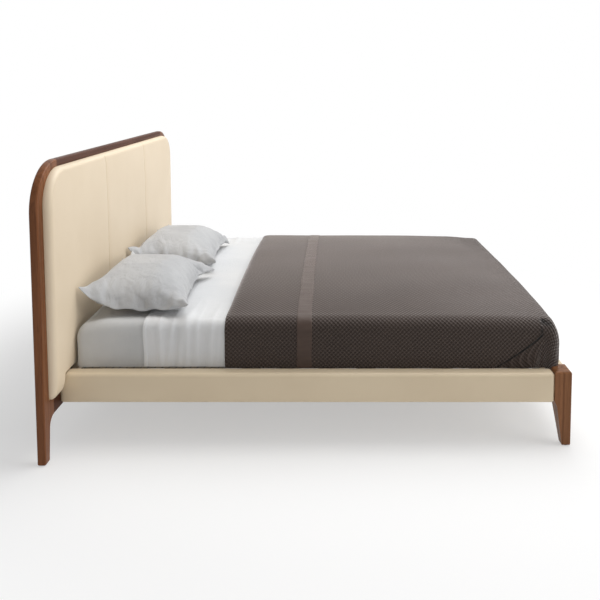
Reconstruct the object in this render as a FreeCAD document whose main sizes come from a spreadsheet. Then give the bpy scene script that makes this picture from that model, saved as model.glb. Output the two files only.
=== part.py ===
# A double bed with a padded leather headboard in a rounded walnut frame, low
# leather-covered rails, walnut corner legs, a slatted base, a mattress and bedding.
# Millimetres. X runs from the head to the foot, Y across the bed and Z up, and the
# origin is on the floor under the middle of the bed.
import FreeCAD, Part
import math
import os
import Sketcher

doc = FreeCAD.newDocument("bed")

# ---------------------------------------------------------------- driving sizes
SIZES = {
    "total_length": 2150,
    "frame_width": 1740,
    "head_width": 2050,
    "head_height": 1195,
    "head_depth": 34,
    "head_corner_radius": 200,
    "head_inner_radius": 148,
    "head_edge_roll": 9,
    "head_inner_roll": 3,
    "post_foot_roll": 5,
    "post_width": 52,
    "post_foot_width": 40,
    "post_taper_height": 128,
    "knee_radius": 45,
    "top_bar_height": 30,
    "bottom_rail_top": 245,
    "panel_depth": 18,
    "back_cover_depth": 4,
    "cushion_depth": 36,
    "cushion_bottom": 240,
    "cushion_roll": 20,
    "leather_depth": 3,
    "rail_depth": 65,
    "rail_bottom": 184,
    "rail_top": 308,
    "rail_padding": 8,
    "rail_roll": 12,
    "slat_drop": 28,
    "leg_width": 71,
    "leg_depth": 90,
    "leg_top": 316,
    "leg_shoulder": 190,
    "leg_ankle": 170,
    "leg_ankle_cut": 11,
    "leg_foot_cut": 34,
    "leg_foot_deep_cut": 54,
    "leg_top_roll": 10,
    "leg_edge_roll": 6,
    "leg_foot_roll": 5,
    "glide_height": 3,
    "glide_radius": 11,
    "ledge_depth": 30,
    "ledge_height": 30,
    "slat_count": 12,
    "slat_width": 80,
    "slat_depth": 18,
    "slat_length": 1600,
    "beam_width": 40,
    "beam_height": 60,
    "centre_leg_radius": 20,
    "bracket_steel": 4,
    "bracket_reach": 60,
    "bracket_height": 104,
    "bolt_radius": 4,
    "screw_radius": 2,
    "dowel_radius": 6,
    "dowel_length": 60,
    "mattress_width": 1588,
    "mattress_length": 1990,
    "mattress_depth": 220,
    "mattress_roll": 40,
    "sheet_depth": 2,
    "coverlet_depth": 70,
    "coverlet_side": 12,
    "coverlet_length": 1411,
    "coverlet_roll": 60,
    "band_width": 63,
    "pillow_length": 640,
    "pillow_width": 470,
    "pillow_depth": 98,
    "pillow_roll": 36,
    "under_pillow_length": 560,
    "under_pillow_width": 380,
    "under_pillow_depth": 72,
}

size = doc.addObject("Spreadsheet::Sheet", "size")
for row, (alias, value) in enumerate(SIZES.items(), start=1):
    size.set(f"A{row}", alias)
    size.set(f"B{row}", str(value))
    size.setAlias(f"B{row}", alias)
doc.recompute()

HEAD_END = "-size.total_length / 2"
HEAD_FACE = "-size.total_length / 2 + size.head_depth"
HEAD_MIDDLE = "-size.total_length / 2 + size.head_depth / 2"
FOOT_END = "size.total_length / 2"
FOOT_FACE = "size.total_length / 2 - size.leg_width"
RAIL_INSIDE = "(size.frame_width / 2 - size.rail_depth)"
SLAT_TOP = "(size.rail_top - size.slat_drop)"
SLAT_BOTTOM = "(size.rail_top - size.slat_drop - size.slat_depth)"
CORNER_HEIGHT = "(size.head_height - size.head_corner_radius)"
SIDES = {"left": -1, "right": 1}
CLEARANCE = 0.1

pieces = {}


def number(formula):
    return float(size.evalExpression(str(formula)))


def plus(*formulas):
    return " + ".join(f"({formula})" for formula in formulas)


def times(factor, formula):
    return f"{factor} * ({formula})"


def keep(thing, label):
    """Marks an object as a finished sub-part and gives it its name."""
    thing.Label = label
    pieces[label] = thing
    return thing


# ---------------------------------------------------------------- ways of making a piece
def plane_of(body, role):
    for feature in body.Origin.OriginFeatures:
        if feature.Role == role:
            return feature
    raise ValueError(role)


def arc_centre(start, end, radius):
    """Centre of the short arc from start to end; a positive radius turns left."""
    chord = end - start
    across = FreeCAD.Vector(-chord.y, chord.x, 0).normalize()
    rise = math.sqrt(max(radius * radius - chord.Length * chord.Length / 4, 0))
    return (start + end) * 0.5 + across * math.copysign(rise, radius)


def draw(sketch, outline):
    """Draws a closed outline and ties every corner to its formulas.

    Each corner is (across, up, radius): radius is a formula for the arc that leaves
    the corner, with its turning sign in front, or None for a straight edge.
    """
    points = [FreeCAD.Vector(number(across), number(up), 0) for across, up, _ in outline]
    ends = []
    for index, (_, _, bend) in enumerate(outline):
        start = points[index]
        end = points[(index + 1) % len(points)]
        if bend is None:
            sketch.addGeometry(Part.LineSegment(start, end), False)
            ends.append((1, 2))
            continue
        radius = number(bend)
        centre = arc_centre(start, end, radius)
        middle = centre + ((start + end) * 0.5 - centre).normalize() * abs(radius)
        sketch.addGeometry(Part.Arc(start, middle, end), False)
        forward = sketch.getPoint(index, 1).distanceToPoint(start) < 0.01
        ends.append((1, 2) if forward else (2, 1))
    for index, (across, up, bend) in enumerate(outline):
        following = (index + 1) % len(outline)
        sketch.addConstraint(Sketcher.Constraint(
            "Coincident", index, ends[index][1], following, ends[following][0]))
        for kind, formula in (("DistanceX", across), ("DistanceY", up)):
            place = sketch.addConstraint(Sketcher.Constraint(
                kind, -1, 1, index, ends[index][0], number(formula)))
            sketch.setExpression(f"Constraints[{place}]", str(formula))
        if bend is not None:
            place = sketch.addConstraint(Sketcher.Constraint("Radius", index, abs(number(bend))))
            sketch.setExpression(f"Constraints[{place}]", bend.lstrip("-"))


def sketch_on(body, role, offset, outline):
    sketch = body.newObject("Sketcher::SketchObject", body.Name + "_outline")
    sketch.AttachmentSupport = [(plane_of(body, role), "")]
    sketch.MapMode = "FlatFace"
    sketch.setExpression("AttachmentOffset.Base.z", str(offset))
    draw(sketch, outline)
    return sketch


def padded(label, role, offset, outline, length):
    """A body with one outline padded along its plane's normal."""
    body = doc.addObject("PartDesign::Body", label)
    pad = body.newObject("PartDesign::Pad", label + "_pad")
    pad.Profile = sketch_on(body, role, offset, outline)
    pad.setExpression("Length", str(length))
    doc.recompute()
    return body


def rounded(body, radius, wanted):
    """Rounds the edges of a body for which wanted(edge) is true."""
    edges = [f"Edge{count}" for count, edge in enumerate(body.Shape.Edges, start=1) if wanted(edge)]
    before = body.Tip
    fillet = body.newObject("PartDesign::Fillet", body.Name + "_fillet")
    fillet.Base = (before, edges)
    fillet.setExpression("Radius", str(radius))
    body.Tip = fillet
    doc.recompute()
    return body


def along(axis):
    """Picks the straight edges that run along an axis."""
    def wanted(edge):
        if edge.Curve.TypeId != "Part::GeomLine":
            return False
        direction = edge.tangentAt(edge.FirstParameter)
        return abs(getattr(direction, axis)) > 0.999
    return wanted


def on_plane(axis, formula):
    """Picks the edges that lie in the plane axis = formula."""
    place = number(formula)
    lowest, highest = axis + "Min", axis + "Max"

    def wanted(edge):
        box = edge.BoundBox
        return abs(getattr(box, lowest) - place) < 0.05 and abs(getattr(box, highest) - place) < 0.05
    return wanted


def both(first, second):
    """Picks the edges that two choices agree on."""
    return lambda edge: first(edge) and second(edge)


def either(first, second):
    """Picks the edges that either choice takes."""
    return lambda edge: first(edge) or second(edge)


def arcs_of(formula):
    """Picks the round edges of one radius."""
    radius = number(formula)

    def wanted(edge):
        return edge.Curve.TypeId == "Part::GeomCircle" and abs(edge.Curve.Radius - radius) < 0.05
    return wanted


def bind(thing, **formulas):
    """Ties sizes, and the place as x, y and z, to the sheet."""
    for name, formula in formulas.items():
        target = f"Placement.Base.{name}" if name in ("x", "y", "z") else name
        thing.setExpression(target, str(formula))
    return thing


def box(name, low, spans):
    """A block from its lowest corner and its three lengths, all as formulas."""
    block = doc.addObject("Part::Box", name)
    bind(block, Length=spans[0], Width=spans[1], Height=spans[2])
    return bind(block, x=low[0], y=low[1], z=low[2])


TURNS = {
    "+X": FreeCAD.Rotation(FreeCAD.Vector(0, 1, 0), 90),
    "-X": FreeCAD.Rotation(FreeCAD.Vector(0, 1, 0), -90),
    "+Y": FreeCAD.Rotation(FreeCAD.Vector(1, 0, 0), -90),
    "-Y": FreeCAD.Rotation(FreeCAD.Vector(1, 0, 0), 90),
    "+Z": FreeCAD.Rotation(),
    "-Z": FreeCAD.Rotation(FreeCAD.Vector(1, 0, 0), 180),
}


def rod(name, start, way, radius, length, extra=0.0):
    """A round rod from a starting point; extra widens it, for a clearance hole."""
    cylinder = doc.addObject("Part::Cylinder", name)
    cylinder.Placement = FreeCAD.Placement(FreeCAD.Vector(), TURNS[way])
    bind(cylinder, Radius=plus(radius, extra), Height=length)
    return bind(cylinder, x=start[0], y=start[1], z=start[2])


def joined(name, things):
    union = doc.addObject("Part::MultiFuse", name)
    union.Shapes = things
    return union


def group(label, things):
    """Identical separate pieces kept together in one node."""
    bundle = doc.addObject("Part::Compound", label)
    bundle.Links = things
    return keep(bundle, label)


def cut(label, base, tools):
    """The base with all the tools taken away."""
    if not tools:
        return keep(base, label)
    tool = tools[0] if len(tools) == 1 else joined(label + "_holes", tools)
    result = doc.addObject("Part::Cut", label + "_cut")
    result.Base = base
    result.Tool = tool
    return keep(result, label)


# ---------------------------------------------------------------- fasteners
# A fastener is (start, way, length, head): start is where its head meets the surface and
# way points into the work. The same list makes the fasteners and their holes.
HEADS = {"bolt": (2.0, 5.0), "screw": (2.0, 2.5)}


def fastener(name, start, way, length, kind):
    """A shank with a round head that stands on the surface."""
    head_wide, head_high = HEADS[kind]
    shank = rod(name + "_shank", start, way, f"size.{kind}_radius", length)
    opposite = ("-" if way[0] == "+" else "+") + way[1]
    head = rod(name + "_head", start, opposite, f"size.{kind}_radius * {head_wide}", head_high)
    return joined(name, [shank, head])


def fasteners(label, places, kind):
    things = []
    for count, (start, way, length) in enumerate(places, start=1):
        things.append(fastener(f"{label}_{count}", start, way, length, kind))
    return group(label, things)


def holes(name, places, kind):
    """Clearance holes for a list of fasteners."""
    tools = []
    for count, (start, way, length) in enumerate(places, start=1):
        tool = rod(f"{name}_{count}", start, way, f"size.{kind}_radius", plus(length, 1), CLEARANCE)
        tools.append(tool)
    return tools


def dowels(label, places):
    """Each dowel lies half in each piece, centred on its place."""
    things = []
    for count, (middle, way) in enumerate(places, start=1):
        things.append(dowel(f"{label}_{count}", middle, way, 0.0))
    return group(label, things)


def dowel(name, middle, way, extra):
    axis = "XYZ".index(way)
    start = list(middle)
    start[axis] = plus(middle[axis], "-size.dowel_length / 2", -extra)
    length = plus("size.dowel_length", 2 * extra)
    return rod(name, start, "+" + way, "size.dowel_radius", length, extra)


def dowel_holes(name, places):
    return [dowel(f"{name}_{count}", middle, way, CLEARANCE)
            for count, (middle, way) in enumerate(places, start=1)]


# Dowels of the head frame: each post into its corner, each corner into the top bar and
# the bottom rail into each post. Then the rails into the corner legs at the foot.
POST_MIDDLE = "size.head_width / 2 - size.post_width / 2"
KNEE_END = "(size.head_width / 2 - size.post_width - size.knee_radius)"
TOP_END = "(size.head_width / 2 - size.head_corner_radius)"
BAR_MIDDLE = "size.head_height - size.top_bar_height / 2"
RAIL_MIDDLE = "(size.frame_width / 2 - size.rail_depth / 2)"
RAIL_LINES = (-30, 30)
POST_LINES = (-12, 12)
KNEE_HEIGHTS = (198, 226)


def post_dowels(side):
    return [((HEAD_MIDDLE, times(side, plus(POST_MIDDLE, shift)), CORNER_HEIGHT), "Z")
            for shift in POST_LINES]


def top_dowels(side):
    return [((HEAD_MIDDLE, times(side, TOP_END), BAR_MIDDLE), "Y")]


def knee_dowels(side):
    return [((HEAD_MIDDLE, times(side, KNEE_END), height), "Y") for height in KNEE_HEIGHTS]


def side_dowels(side):
    middle = "(size.rail_top + size.rail_bottom) / 2"
    return [((FOOT_FACE, times(side, RAIL_MIDDLE), plus(middle, shift)), "X")
            for shift in RAIL_LINES]


def foot_dowels(side):
    across = times(side, "size.frame_width / 2 - size.leg_depth")
    middle = "(size.rail_top + size.rail_bottom) / 2"
    return [((plus(FOOT_FACE, "size.leg_width / 2"), across, plus(middle, shift)), "Y")
            for shift in RAIL_LINES]


def all_dowels():
    head, foot = [], []
    for side in SIDES.values():
        head += post_dowels(side) + top_dowels(side) + knee_dowels(side)
        foot += side_dowels(side) + foot_dowels(side)
    dowels("head_dowels", head)
    dowels("foot_dowels", foot)


# Bolts through the steel corner brackets at both ends of each side rail.
BRACKET_BOTTOM = "(size.rail_bottom + 8)"
BOLT_HEIGHTS = (212, 276)
RAIL_BOLT, END_BOLT = 28, 20
BRACKET_MIDDLE = "(size.bracket_reach / 2 + size.bracket_steel / 2)"


def bracket_bolts(side, end):
    """Two bolts into the side rail and two into the piece across its end."""
    across = f"({RAIL_INSIDE} - size.bracket_steel)"
    way = "-Y" if side < 0 else "+Y"
    if end == "head":
        into_end, inner = "-X", plus(HEAD_FACE, "size.bracket_steel")
        middle = plus(HEAD_FACE, BRACKET_MIDDLE)
    else:
        into_end, inner = "+X", plus(FOOT_FACE, "-size.bracket_steel")
        middle = plus(FOOT_FACE, f"-{BRACKET_MIDDLE}")
    end_across = times(side, plus(RAIL_INSIDE, f"-{BRACKET_MIDDLE}"))
    places = []
    for height in BOLT_HEIGHTS:
        places.append(((middle, times(side, across), height), way, RAIL_BOLT))
        places.append(((inner, end_across, height), into_end, END_BOLT))
    return places


# ---------------------------------------------------------------- head frame
def make_posts():
    """Uprights with a tapered leg and a curved knee that meets the bottom rail."""
    half = "size.head_width / 2"
    for name, side in SIDES.items():
        inner = times(side, plus(half, "-size.post_width"))
        outline = [
            (times(side, half), CORNER_HEIGHT, None),
            (times(side, half), "size.glide_height", None),
            (times(side, plus(half, "-size.post_foot_width")), "size.glide_height", None),
            (inner, "size.post_taper_height", ("-" if side < 0 else "") + "size.knee_radius"),
            (times(side, KNEE_END), "size.post_taper_height + size.knee_radius", None),
            (times(side, KNEE_END), "size.bottom_rail_top", None),
            (inner, "size.bottom_rail_top", None),
            (inner, CORNER_HEIGHT, None),
        ]
        body = padded(f"head_post_{name}_blank", "YZ_Plane", HEAD_END, outline, "size.head_depth")
        outside = both(along("z"), on_plane("Y", times(side, half)))
        rounded(body, "size.head_edge_roll", outside)
        inside = both(along("z"), both(on_plane("Y", inner), on_plane("X", HEAD_FACE)))
        rounded(body, "size.head_inner_roll", inside)
        rounded(body, "size.post_foot_roll", on_plane("Z", "size.glide_height"))
        tools = dowel_holes(f"{name}_post_sockets", post_dowels(side))
        tools += dowel_holes(f"{name}_knee_sockets", knee_dowels(side))
        cut(f"head_post_{name}", body, tools)


def make_corners():
    """Quarter rings between the posts and the top bar."""
    half = "size.head_width / 2"
    inner = plus(half, "-size.post_width")
    spring = "size.head_height - size.top_bar_height - size.head_inner_radius"
    for name, side in SIDES.items():
        left = side < 0
        outline = [
            (times(side, half), CORNER_HEIGHT, ("-" if left else "") + "size.head_corner_radius"),
            (times(side, TOP_END), "size.head_height", None),
            (times(side, TOP_END), "size.head_height - size.top_bar_height",
             ("" if left else "-") + "size.head_inner_radius"),
            (times(side, inner), spring, None),
            (times(side, inner), CORNER_HEIGHT, None),
        ]
        body = padded(f"head_corner_{name}_blank", "YZ_Plane", HEAD_END, outline, "size.head_depth")
        rounded(body, "size.head_edge_roll", arcs_of("size.head_corner_radius"))
        straight = both(along("z"), on_plane("Y", times(side, inner)))
        inside = both(on_plane("X", HEAD_FACE), either(arcs_of("size.head_inner_radius"), straight))
        rounded(body, "size.head_inner_roll", inside)
        tools = dowel_holes(f"{name}_corner_sockets", post_dowels(side))
        tools += dowel_holes(f"{name}_top_sockets", top_dowels(side))
        cut(f"head_corner_{name}", body, tools)


def make_head_bars():
    """The straight bar along the top and the rail under the padding."""
    low = "size.head_height - size.top_bar_height"
    section = [(HEAD_END, low, None), (HEAD_FACE, low, None),
               (HEAD_FACE, "size.head_height", None), (HEAD_END, "size.head_height", None)]
    top = padded("head_top_bar_blank", "XZ_Plane", f"-{TOP_END}", section, f"2 * {TOP_END}")
    rounded(top, "size.head_edge_roll", both(along("y"), on_plane("Z", "size.head_height")))
    rounded(top, "size.head_inner_roll",
            both(along("y"), both(on_plane("Z", low), on_plane("X", HEAD_FACE))))
    tools = []
    for side in SIDES.values():
        tools += dowel_holes(f"top_bar_sockets_{side + 1}", top_dowels(side))
    cut("head_top_bar", top, tools)
    low = "size.post_taper_height + size.knee_radius"
    bottom = box("head_bottom_rail_blank", (HEAD_END, f"-{KNEE_END}", low),
                 ("size.head_depth", f"2 * {KNEE_END}", f"size.bottom_rail_top - ({low})"))
    tools = holes("bottom_rail_beam_screws", beam_screws("head"), "screw")
    for side in SIDES.values():
        tools += dowel_holes(f"bottom_rail_sockets_{side + 1}", knee_dowels(side))
        tools += holes(f"bottom_rail_bolts_{side + 1}", bracket_bolts(side, "head"), "bolt")
    cut("head_bottom_rail", bottom, tools)


def opening(bottom, inset):
    """Outline of the head frame's opening, drawn in by an inset."""
    half = plus("size.head_width / 2", "-size.post_width", times(-1, inset))
    top = plus("size.head_height - size.top_bar_height", times(-1, inset))
    radius = f"size.head_inner_radius - {inset}"
    shoulder = "size.head_height - size.top_bar_height - size.head_inner_radius"
    inner = plus("size.head_width / 2", "-size.post_width", "-size.head_inner_radius")
    return [
        (times(-1, half), bottom, None),
        (half, bottom, None),
        (half, shoulder, radius),
        (inner, top, None),
        (times(-1, inner), top, radius),
        (times(-1, half), shoulder, None),
    ]


def make_head_panel():
    """The board inside the frame and the cover stretched over its back."""
    outline = opening("size.bottom_rail_top", 0)
    panel = padded("head_panel_blank", "YZ_Plane", f"{HEAD_FACE} - size.panel_depth", outline,
                   "size.panel_depth")
    tools = []
    for side in SIDES.values():
        tools += holes(f"panel_bolts_{side + 1}", bracket_bolts(side, "head"), "bolt")
    cut("head_panel", panel, tools)
    back = f"{HEAD_FACE} - size.panel_depth - size.back_cover_depth"
    keep(padded("head_back_cover_body", "YZ_Plane", back, outline, "size.back_cover_depth"),
         "head_back_cover")


NOTCH_GAP = 3
BRACKET_ROOM = 9
OVERCUT = 5


def rail_notches(name):
    """Room in the head padding for the side rails and their brackets."""
    tools = []
    outer = f"(size.frame_width / 2 + {NOTCH_GAP})"
    wide = f"(size.rail_depth + size.bracket_reach + {NOTCH_GAP} + {BRACKET_ROOM})"
    tall = f"size.rail_top + {NOTCH_GAP} - size.cushion_bottom + {OVERCUT}"
    for side_name, side in SIDES.items():
        low = f"{outer} - {wide}" if side > 0 else f"-{outer}"
        corner = (plus(HEAD_FACE, -OVERCUT), low, f"size.cushion_bottom - {OVERCUT}")
        tools.append(box(f"{name}_notch_{side_name}", corner,
                         (f"size.cushion_depth + 4 * {OVERCUT}", wide, tall)))
    return tools


def make_head_padding():
    """The foam pad with rolled edges and the leather stretched over it."""
    blanks = {}
    for name, inset in (("leather", 0), ("foam", "size.leather_depth")):
        outline = opening(plus("size.cushion_bottom", inset), inset)
        depth = plus("size.cushion_depth", times(-1, inset))
        body = padded(f"head_{name}_blank", "YZ_Plane", HEAD_FACE, outline, depth)
        rounded(body, f"size.cushion_roll - {inset}", on_plane("X", plus(HEAD_FACE, depth)))
        blanks[name] = body
    cut("head_cushion", blanks["foam"], rail_notches("foam"))
    cut("head_leather_cover", blanks["leather"], [pieces["head_cushion"]] + rail_notches("leather"))


# ---------------------------------------------------------------- rails and foot legs
def rail_section(low_y, high_y, low_z, high_z):
    return [(low_y, low_z, None), (high_y, low_z, None), (high_y, high_z, None), (low_y, high_z, None)]


def covered_rail(label, role, offset, length, across, tools_of):
    """A wooden core in a padded leather sleeve; across is the sleeve's low and high place."""
    low, high = across
    pad = "size.rail_padding"
    outer = padded(f"{label}_sleeve", role, offset,
                   rail_section(low, high, "size.rail_bottom", "size.rail_top"), length)
    rounded(outer, "size.rail_roll", along("x" if role == "YZ_Plane" else "y"))
    section = rail_section(plus(low, pad), plus(high, f"-{pad}"),
                           plus("size.rail_bottom", pad), plus("size.rail_top", f"-{pad}"))
    bore = padded(f"{label}_bore", role, offset, section, length)
    core = padded(f"{label}_blank", role, offset, section, length)
    cut(f"{label}_cover", outer, [bore] + tools_of("cover"))
    cut(f"{label}_core", core, tools_of("core"))


def make_side_rails():
    length = f"{FOOT_FACE} - ({HEAD_FACE})"
    for name, side in SIDES.items():
        outside, inside = "size.frame_width / 2", RAIL_INSIDE
        across = (times(side, outside), times(side, inside))
        across = across if side < 0 else across[::-1]

        def tools_of(use):
            key = f"{name}_rail_{use}"
            tools = holes(key + "_ledge", ledge_screws(side), "screw")
            for end in ("head", "foot"):
                tools += holes(f"{key}_{end}", bracket_bolts(side, end), "bolt")
            if use == "core":
                tools += dowel_holes(key + "_sockets", side_dowels(side))
            return tools
        covered_rail(f"side_rail_{name}", "YZ_Plane", HEAD_FACE, length, across, tools_of)


def make_foot_rail():
    inner = "(size.frame_width / 2 - size.leg_depth)"

    def tools_of(use):
        key = f"foot_rail_{use}"
        tools = holes(key + "_beam", beam_screws("foot"), "screw")
        for side_name, side in SIDES.items():
            tools += holes(f"{key}_{side_name}", bracket_bolts(side, "foot"), "bolt")
            if use == "core":
                tools += dowel_holes(f"{key}_sockets_{side_name}", foot_dowels(side))
        return tools
    covered_rail("foot_rail", "XZ_Plane", times(-1, inner), f"2 * {inner}", (FOOT_FACE, FOOT_END),
                 tools_of)


def make_foot_legs():
    """Square legs that taper on their two inner faces below the rails."""
    bottom = "size.glide_height"
    for name, side in SIDES.items():
        front = [
            (FOOT_FACE, "size.leg_top", None),
            (FOOT_FACE, "size.leg_shoulder", None),
            (plus(FOOT_FACE, "size.leg_ankle_cut"), "size.leg_ankle", None),
            (plus(FOOT_FACE, "size.leg_foot_cut"), bottom, None),
            (FOOT_END, bottom, None),
            (FOOT_END, "size.leg_top", None),
        ]
        nearest = "size.frame_width / 2 - size.leg_depth" if side < 0 else "-size.frame_width / 2"
        body = padded(f"foot_leg_{name}_blank", "XZ_Plane", nearest, front, "size.leg_depth")
        inner = "size.frame_width / 2 - size.leg_depth"
        wedge = [
            (times(side, plus(inner, -5)), "size.leg_shoulder", None),
            (times(side, inner), "size.leg_shoulder", None),
            (times(side, plus(inner, "size.leg_ankle_cut")), "size.leg_ankle", None),
            (times(side, plus(inner, "size.leg_foot_deep_cut")), plus(bottom, -1), None),
            (times(side, plus(inner, -5)), plus(bottom, -1), None),
        ]
        before = body.Shape.Volume
        pocket = body.newObject("PartDesign::Pocket", f"foot_leg_{name}_taper")
        pocket.Profile = sketch_on(body, "YZ_Plane", FOOT_FACE, wedge)
        pocket.Reversed = True
        pocket.setExpression("Length", "size.leg_width")
        body.Tip = pocket
        doc.recompute()
        if body.Shape.Volume >= before - 1:
            raise ValueError(f"the taper of foot_leg_{name} cut nothing")
        corner = both(on_plane("X", FOOT_END), on_plane("Y", times(side, "size.frame_width / 2")))
        rounded(body, "size.leg_edge_roll", both(along("z"), corner))
        rounded(body, "size.leg_top_roll", on_plane("Z", "size.leg_top"))
        rounded(body, "size.leg_foot_roll", on_plane("Z", bottom))
        tools = dowel_holes(f"{name}_leg_side_sockets", side_dowels(side))
        tools += dowel_holes(f"{name}_leg_foot_sockets", foot_dowels(side))
        cut(f"foot_leg_{name}", body, tools)


def make_glides():
    """Thin round pads under the four corner legs."""
    places = []
    for side in SIDES.values():
        places.append((HEAD_MIDDLE, times(side, "size.head_width / 2 - size.post_foot_width / 2")))
        places.append((plus(FOOT_END, "-(size.leg_width - size.leg_foot_cut) / 2"),
                       times(side, plus("size.frame_width / 2",
                                        "-(size.leg_depth - size.leg_foot_deep_cut) / 2"))))
    discs = [rod(f"corner_glide_{count}", (across, deep, 0), "+Z", "size.glide_radius",
                 "size.glide_height") for count, (across, deep) in enumerate(places, start=1)]
    group("corner_glides", discs)


# ---------------------------------------------------------------- base
LEDGE_START = plus(HEAD_FACE, "size.bracket_reach + 10")
LEDGE_END = plus(FOOT_FACE, "-size.bracket_reach - 10")
LEDGE_SCREWS = 5
LEDGE_SCREW_SHIFT, LEDGE_SCREW = 22, 60
SLAT_SCREW, SLAT_SCREW_SUNK = 26, 2.5


def ledge_screws(side):
    """Screws from the ledge's inner face, through it and the leather, into the core."""
    across = times(side, plus(RAIL_INSIDE, "-size.ledge_depth"))
    way = "-Y" if side < 0 else "+Y"
    height = plus(SLAT_BOTTOM, "-size.ledge_height / 2")
    places = []
    for count in range(LEDGE_SCREWS):
        share = (count + 0.5) / LEDGE_SCREWS
        place = f"{1 - share} * ({LEDGE_START}) + {share} * ({LEDGE_END})"
        places.append(((plus(place, LEDGE_SCREW_SHIFT), across, height), way, LEDGE_SCREW))
    return places


def slat_middle(count):
    """Place of a slat's centre line along the bed; the slats are evenly spaced."""
    start = plus(LEDGE_START, "size.slat_width / 2 + 4")
    end = plus(LEDGE_END, "-size.slat_width / 2 - 4")
    return f"({start}) + {count} * (({end}) - ({start})) / (size.slat_count - 1)"


def slat_screws(count):
    places = []
    for side in SIDES.values():
        across = times(side, plus(RAIL_INSIDE, "-size.ledge_depth / 2"))
        start = (slat_middle(count), across, plus(SLAT_TOP, -SLAT_SCREW_SUNK))
        places.append((start, "-Z", SLAT_SCREW))
    return places


def make_ledges():
    low = plus(SLAT_BOTTOM, "-size.ledge_height")
    for name, side in SIDES.items():
        near = RAIL_INSIDE + " - size.ledge_depth" if side > 0 else times(-1, RAIL_INSIDE)
        ledge = box(f"side_ledge_{name}_blank", (LEDGE_START, near, low),
                    (f"({LEDGE_END}) - ({LEDGE_START})", "size.ledge_depth", "size.ledge_height"))
        tools = holes(f"{name}_ledge_rail", ledge_screws(side), "screw")
        for count in range(SIZES["slat_count"]):
            place = slat_screws(count)[0 if side < 0 else 1]
            tools += holes(f"{name}_ledge_slat_{count}", [place], "screw")
        cut(f"side_ledge_{name}", ledge, tools)


def make_slats():
    """Full-width slats screwed to the ledges, with sunk screw heads."""
    screws = []
    for count in range(SIZES["slat_count"]):
        slat = box(f"slat_{count}_blank",
                   (plus(slat_middle(count), "-size.slat_width / 2"), "-size.slat_length / 2",
                    SLAT_BOTTOM),
                   ("size.slat_width", "size.slat_length", "size.slat_depth"))
        places = slat_screws(count)
        tools = holes(f"slat_{count}_hole", places, "screw")
        for number_of, (start, _, _) in enumerate(places):
            tools.append(rod(f"slat_{count}_sink_{number_of}", start, "+Z", "size.screw_radius * 2",
                             4, CLEARANCE))
        cut(f"slat_{count + 1:02d}", slat, tools)
        screws += places
    fasteners("slat_screws", screws, "screw")


BEAM_TOP = SLAT_BOTTOM
BEAM_LOW = plus(SLAT_BOTTOM, "-size.beam_height")
BEAM_GAP = 45
CENTRE_LEGS = (-330, 330)
STUD_BELOW, STUD_LENGTH = 40, 70
SADDLE_STEEL, SADDLE_HEIGHT, SADDLE_HALF, CHEEK_HEIGHT = 3, 38, 45, 28
SADDLE_DROP, SADDLE_SCREW_RISE, SADDLE_SCREW = 10, 24, 25


def beam_screws(end):
    """Two screws that hold a beam bracket to the rail behind it."""
    ways = {"head": ("-X", HEAD_FACE, 1), "foot": ("+X", FOOT_FACE, -1)}
    way, face, step = ways[end]
    start = plus(face, step * SADDLE_STEEL)
    height = plus(BEAM_LOW, SADDLE_SCREW_RISE - SADDLE_DROP)
    return [((start, across, height), way, SADDLE_SCREW) for across in (-35, 35)]


def make_beam():
    """The middle beam, the two steel brackets it sits in and its two round legs."""
    start = plus(HEAD_FACE, BEAM_GAP)
    end = plus(FOOT_FACE, -5)
    beam = box("centre_beam_blank", (start, "-size.beam_width / 2", BEAM_LOW),
               (f"({end}) - ({start})", "size.beam_width", "size.beam_height"))
    bolts = [((place, 0, plus(BEAM_LOW, -STUD_BELOW)), "+Z", STUD_LENGTH) for place in CENTRE_LEGS]
    cut("centre_beam", beam, holes("beam_leg_hole", bolts, "bolt"))
    make_beam_bracket("head", 1, HEAD_FACE, plus(BEAM_GAP, 40))
    make_beam_bracket("foot", -1, FOOT_FACE, 50)
    studs = []
    for count, place in enumerate(CENTRE_LEGS, start=1):
        leg = rod(f"centre_leg_{count}_blank", (place, 0, "size.glide_height"), "+Z",
                  "size.centre_leg_radius", f"{BEAM_LOW} - size.glide_height")
        socket = rod(f"centre_leg_{count}_socket", (place, 0, plus(BEAM_LOW, -STUD_BELOW)), "+Z",
                     "size.bolt_radius", plus(STUD_BELOW, OVERCUT), CLEARANCE)
        cut(f"centre_leg_{count}", leg, [socket])
        studs.append(rod(f"leg_stud_{count}", (place, 0, plus(BEAM_LOW, -STUD_BELOW)), "+Z",
                         "size.bolt_radius", STUD_LENGTH))
    group("centre_leg_studs", studs)
    pads = [rod(f"centre_pad_{count}", (place, 0, 0), "+Z", "size.centre_leg_radius - 3",
                "size.glide_height") for count, place in enumerate(CENTRE_LEGS)]
    group("centre_leg_pads", pads)
    fasteners("beam_screws", beam_screws("head") + beam_screws("foot"), "screw")


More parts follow.
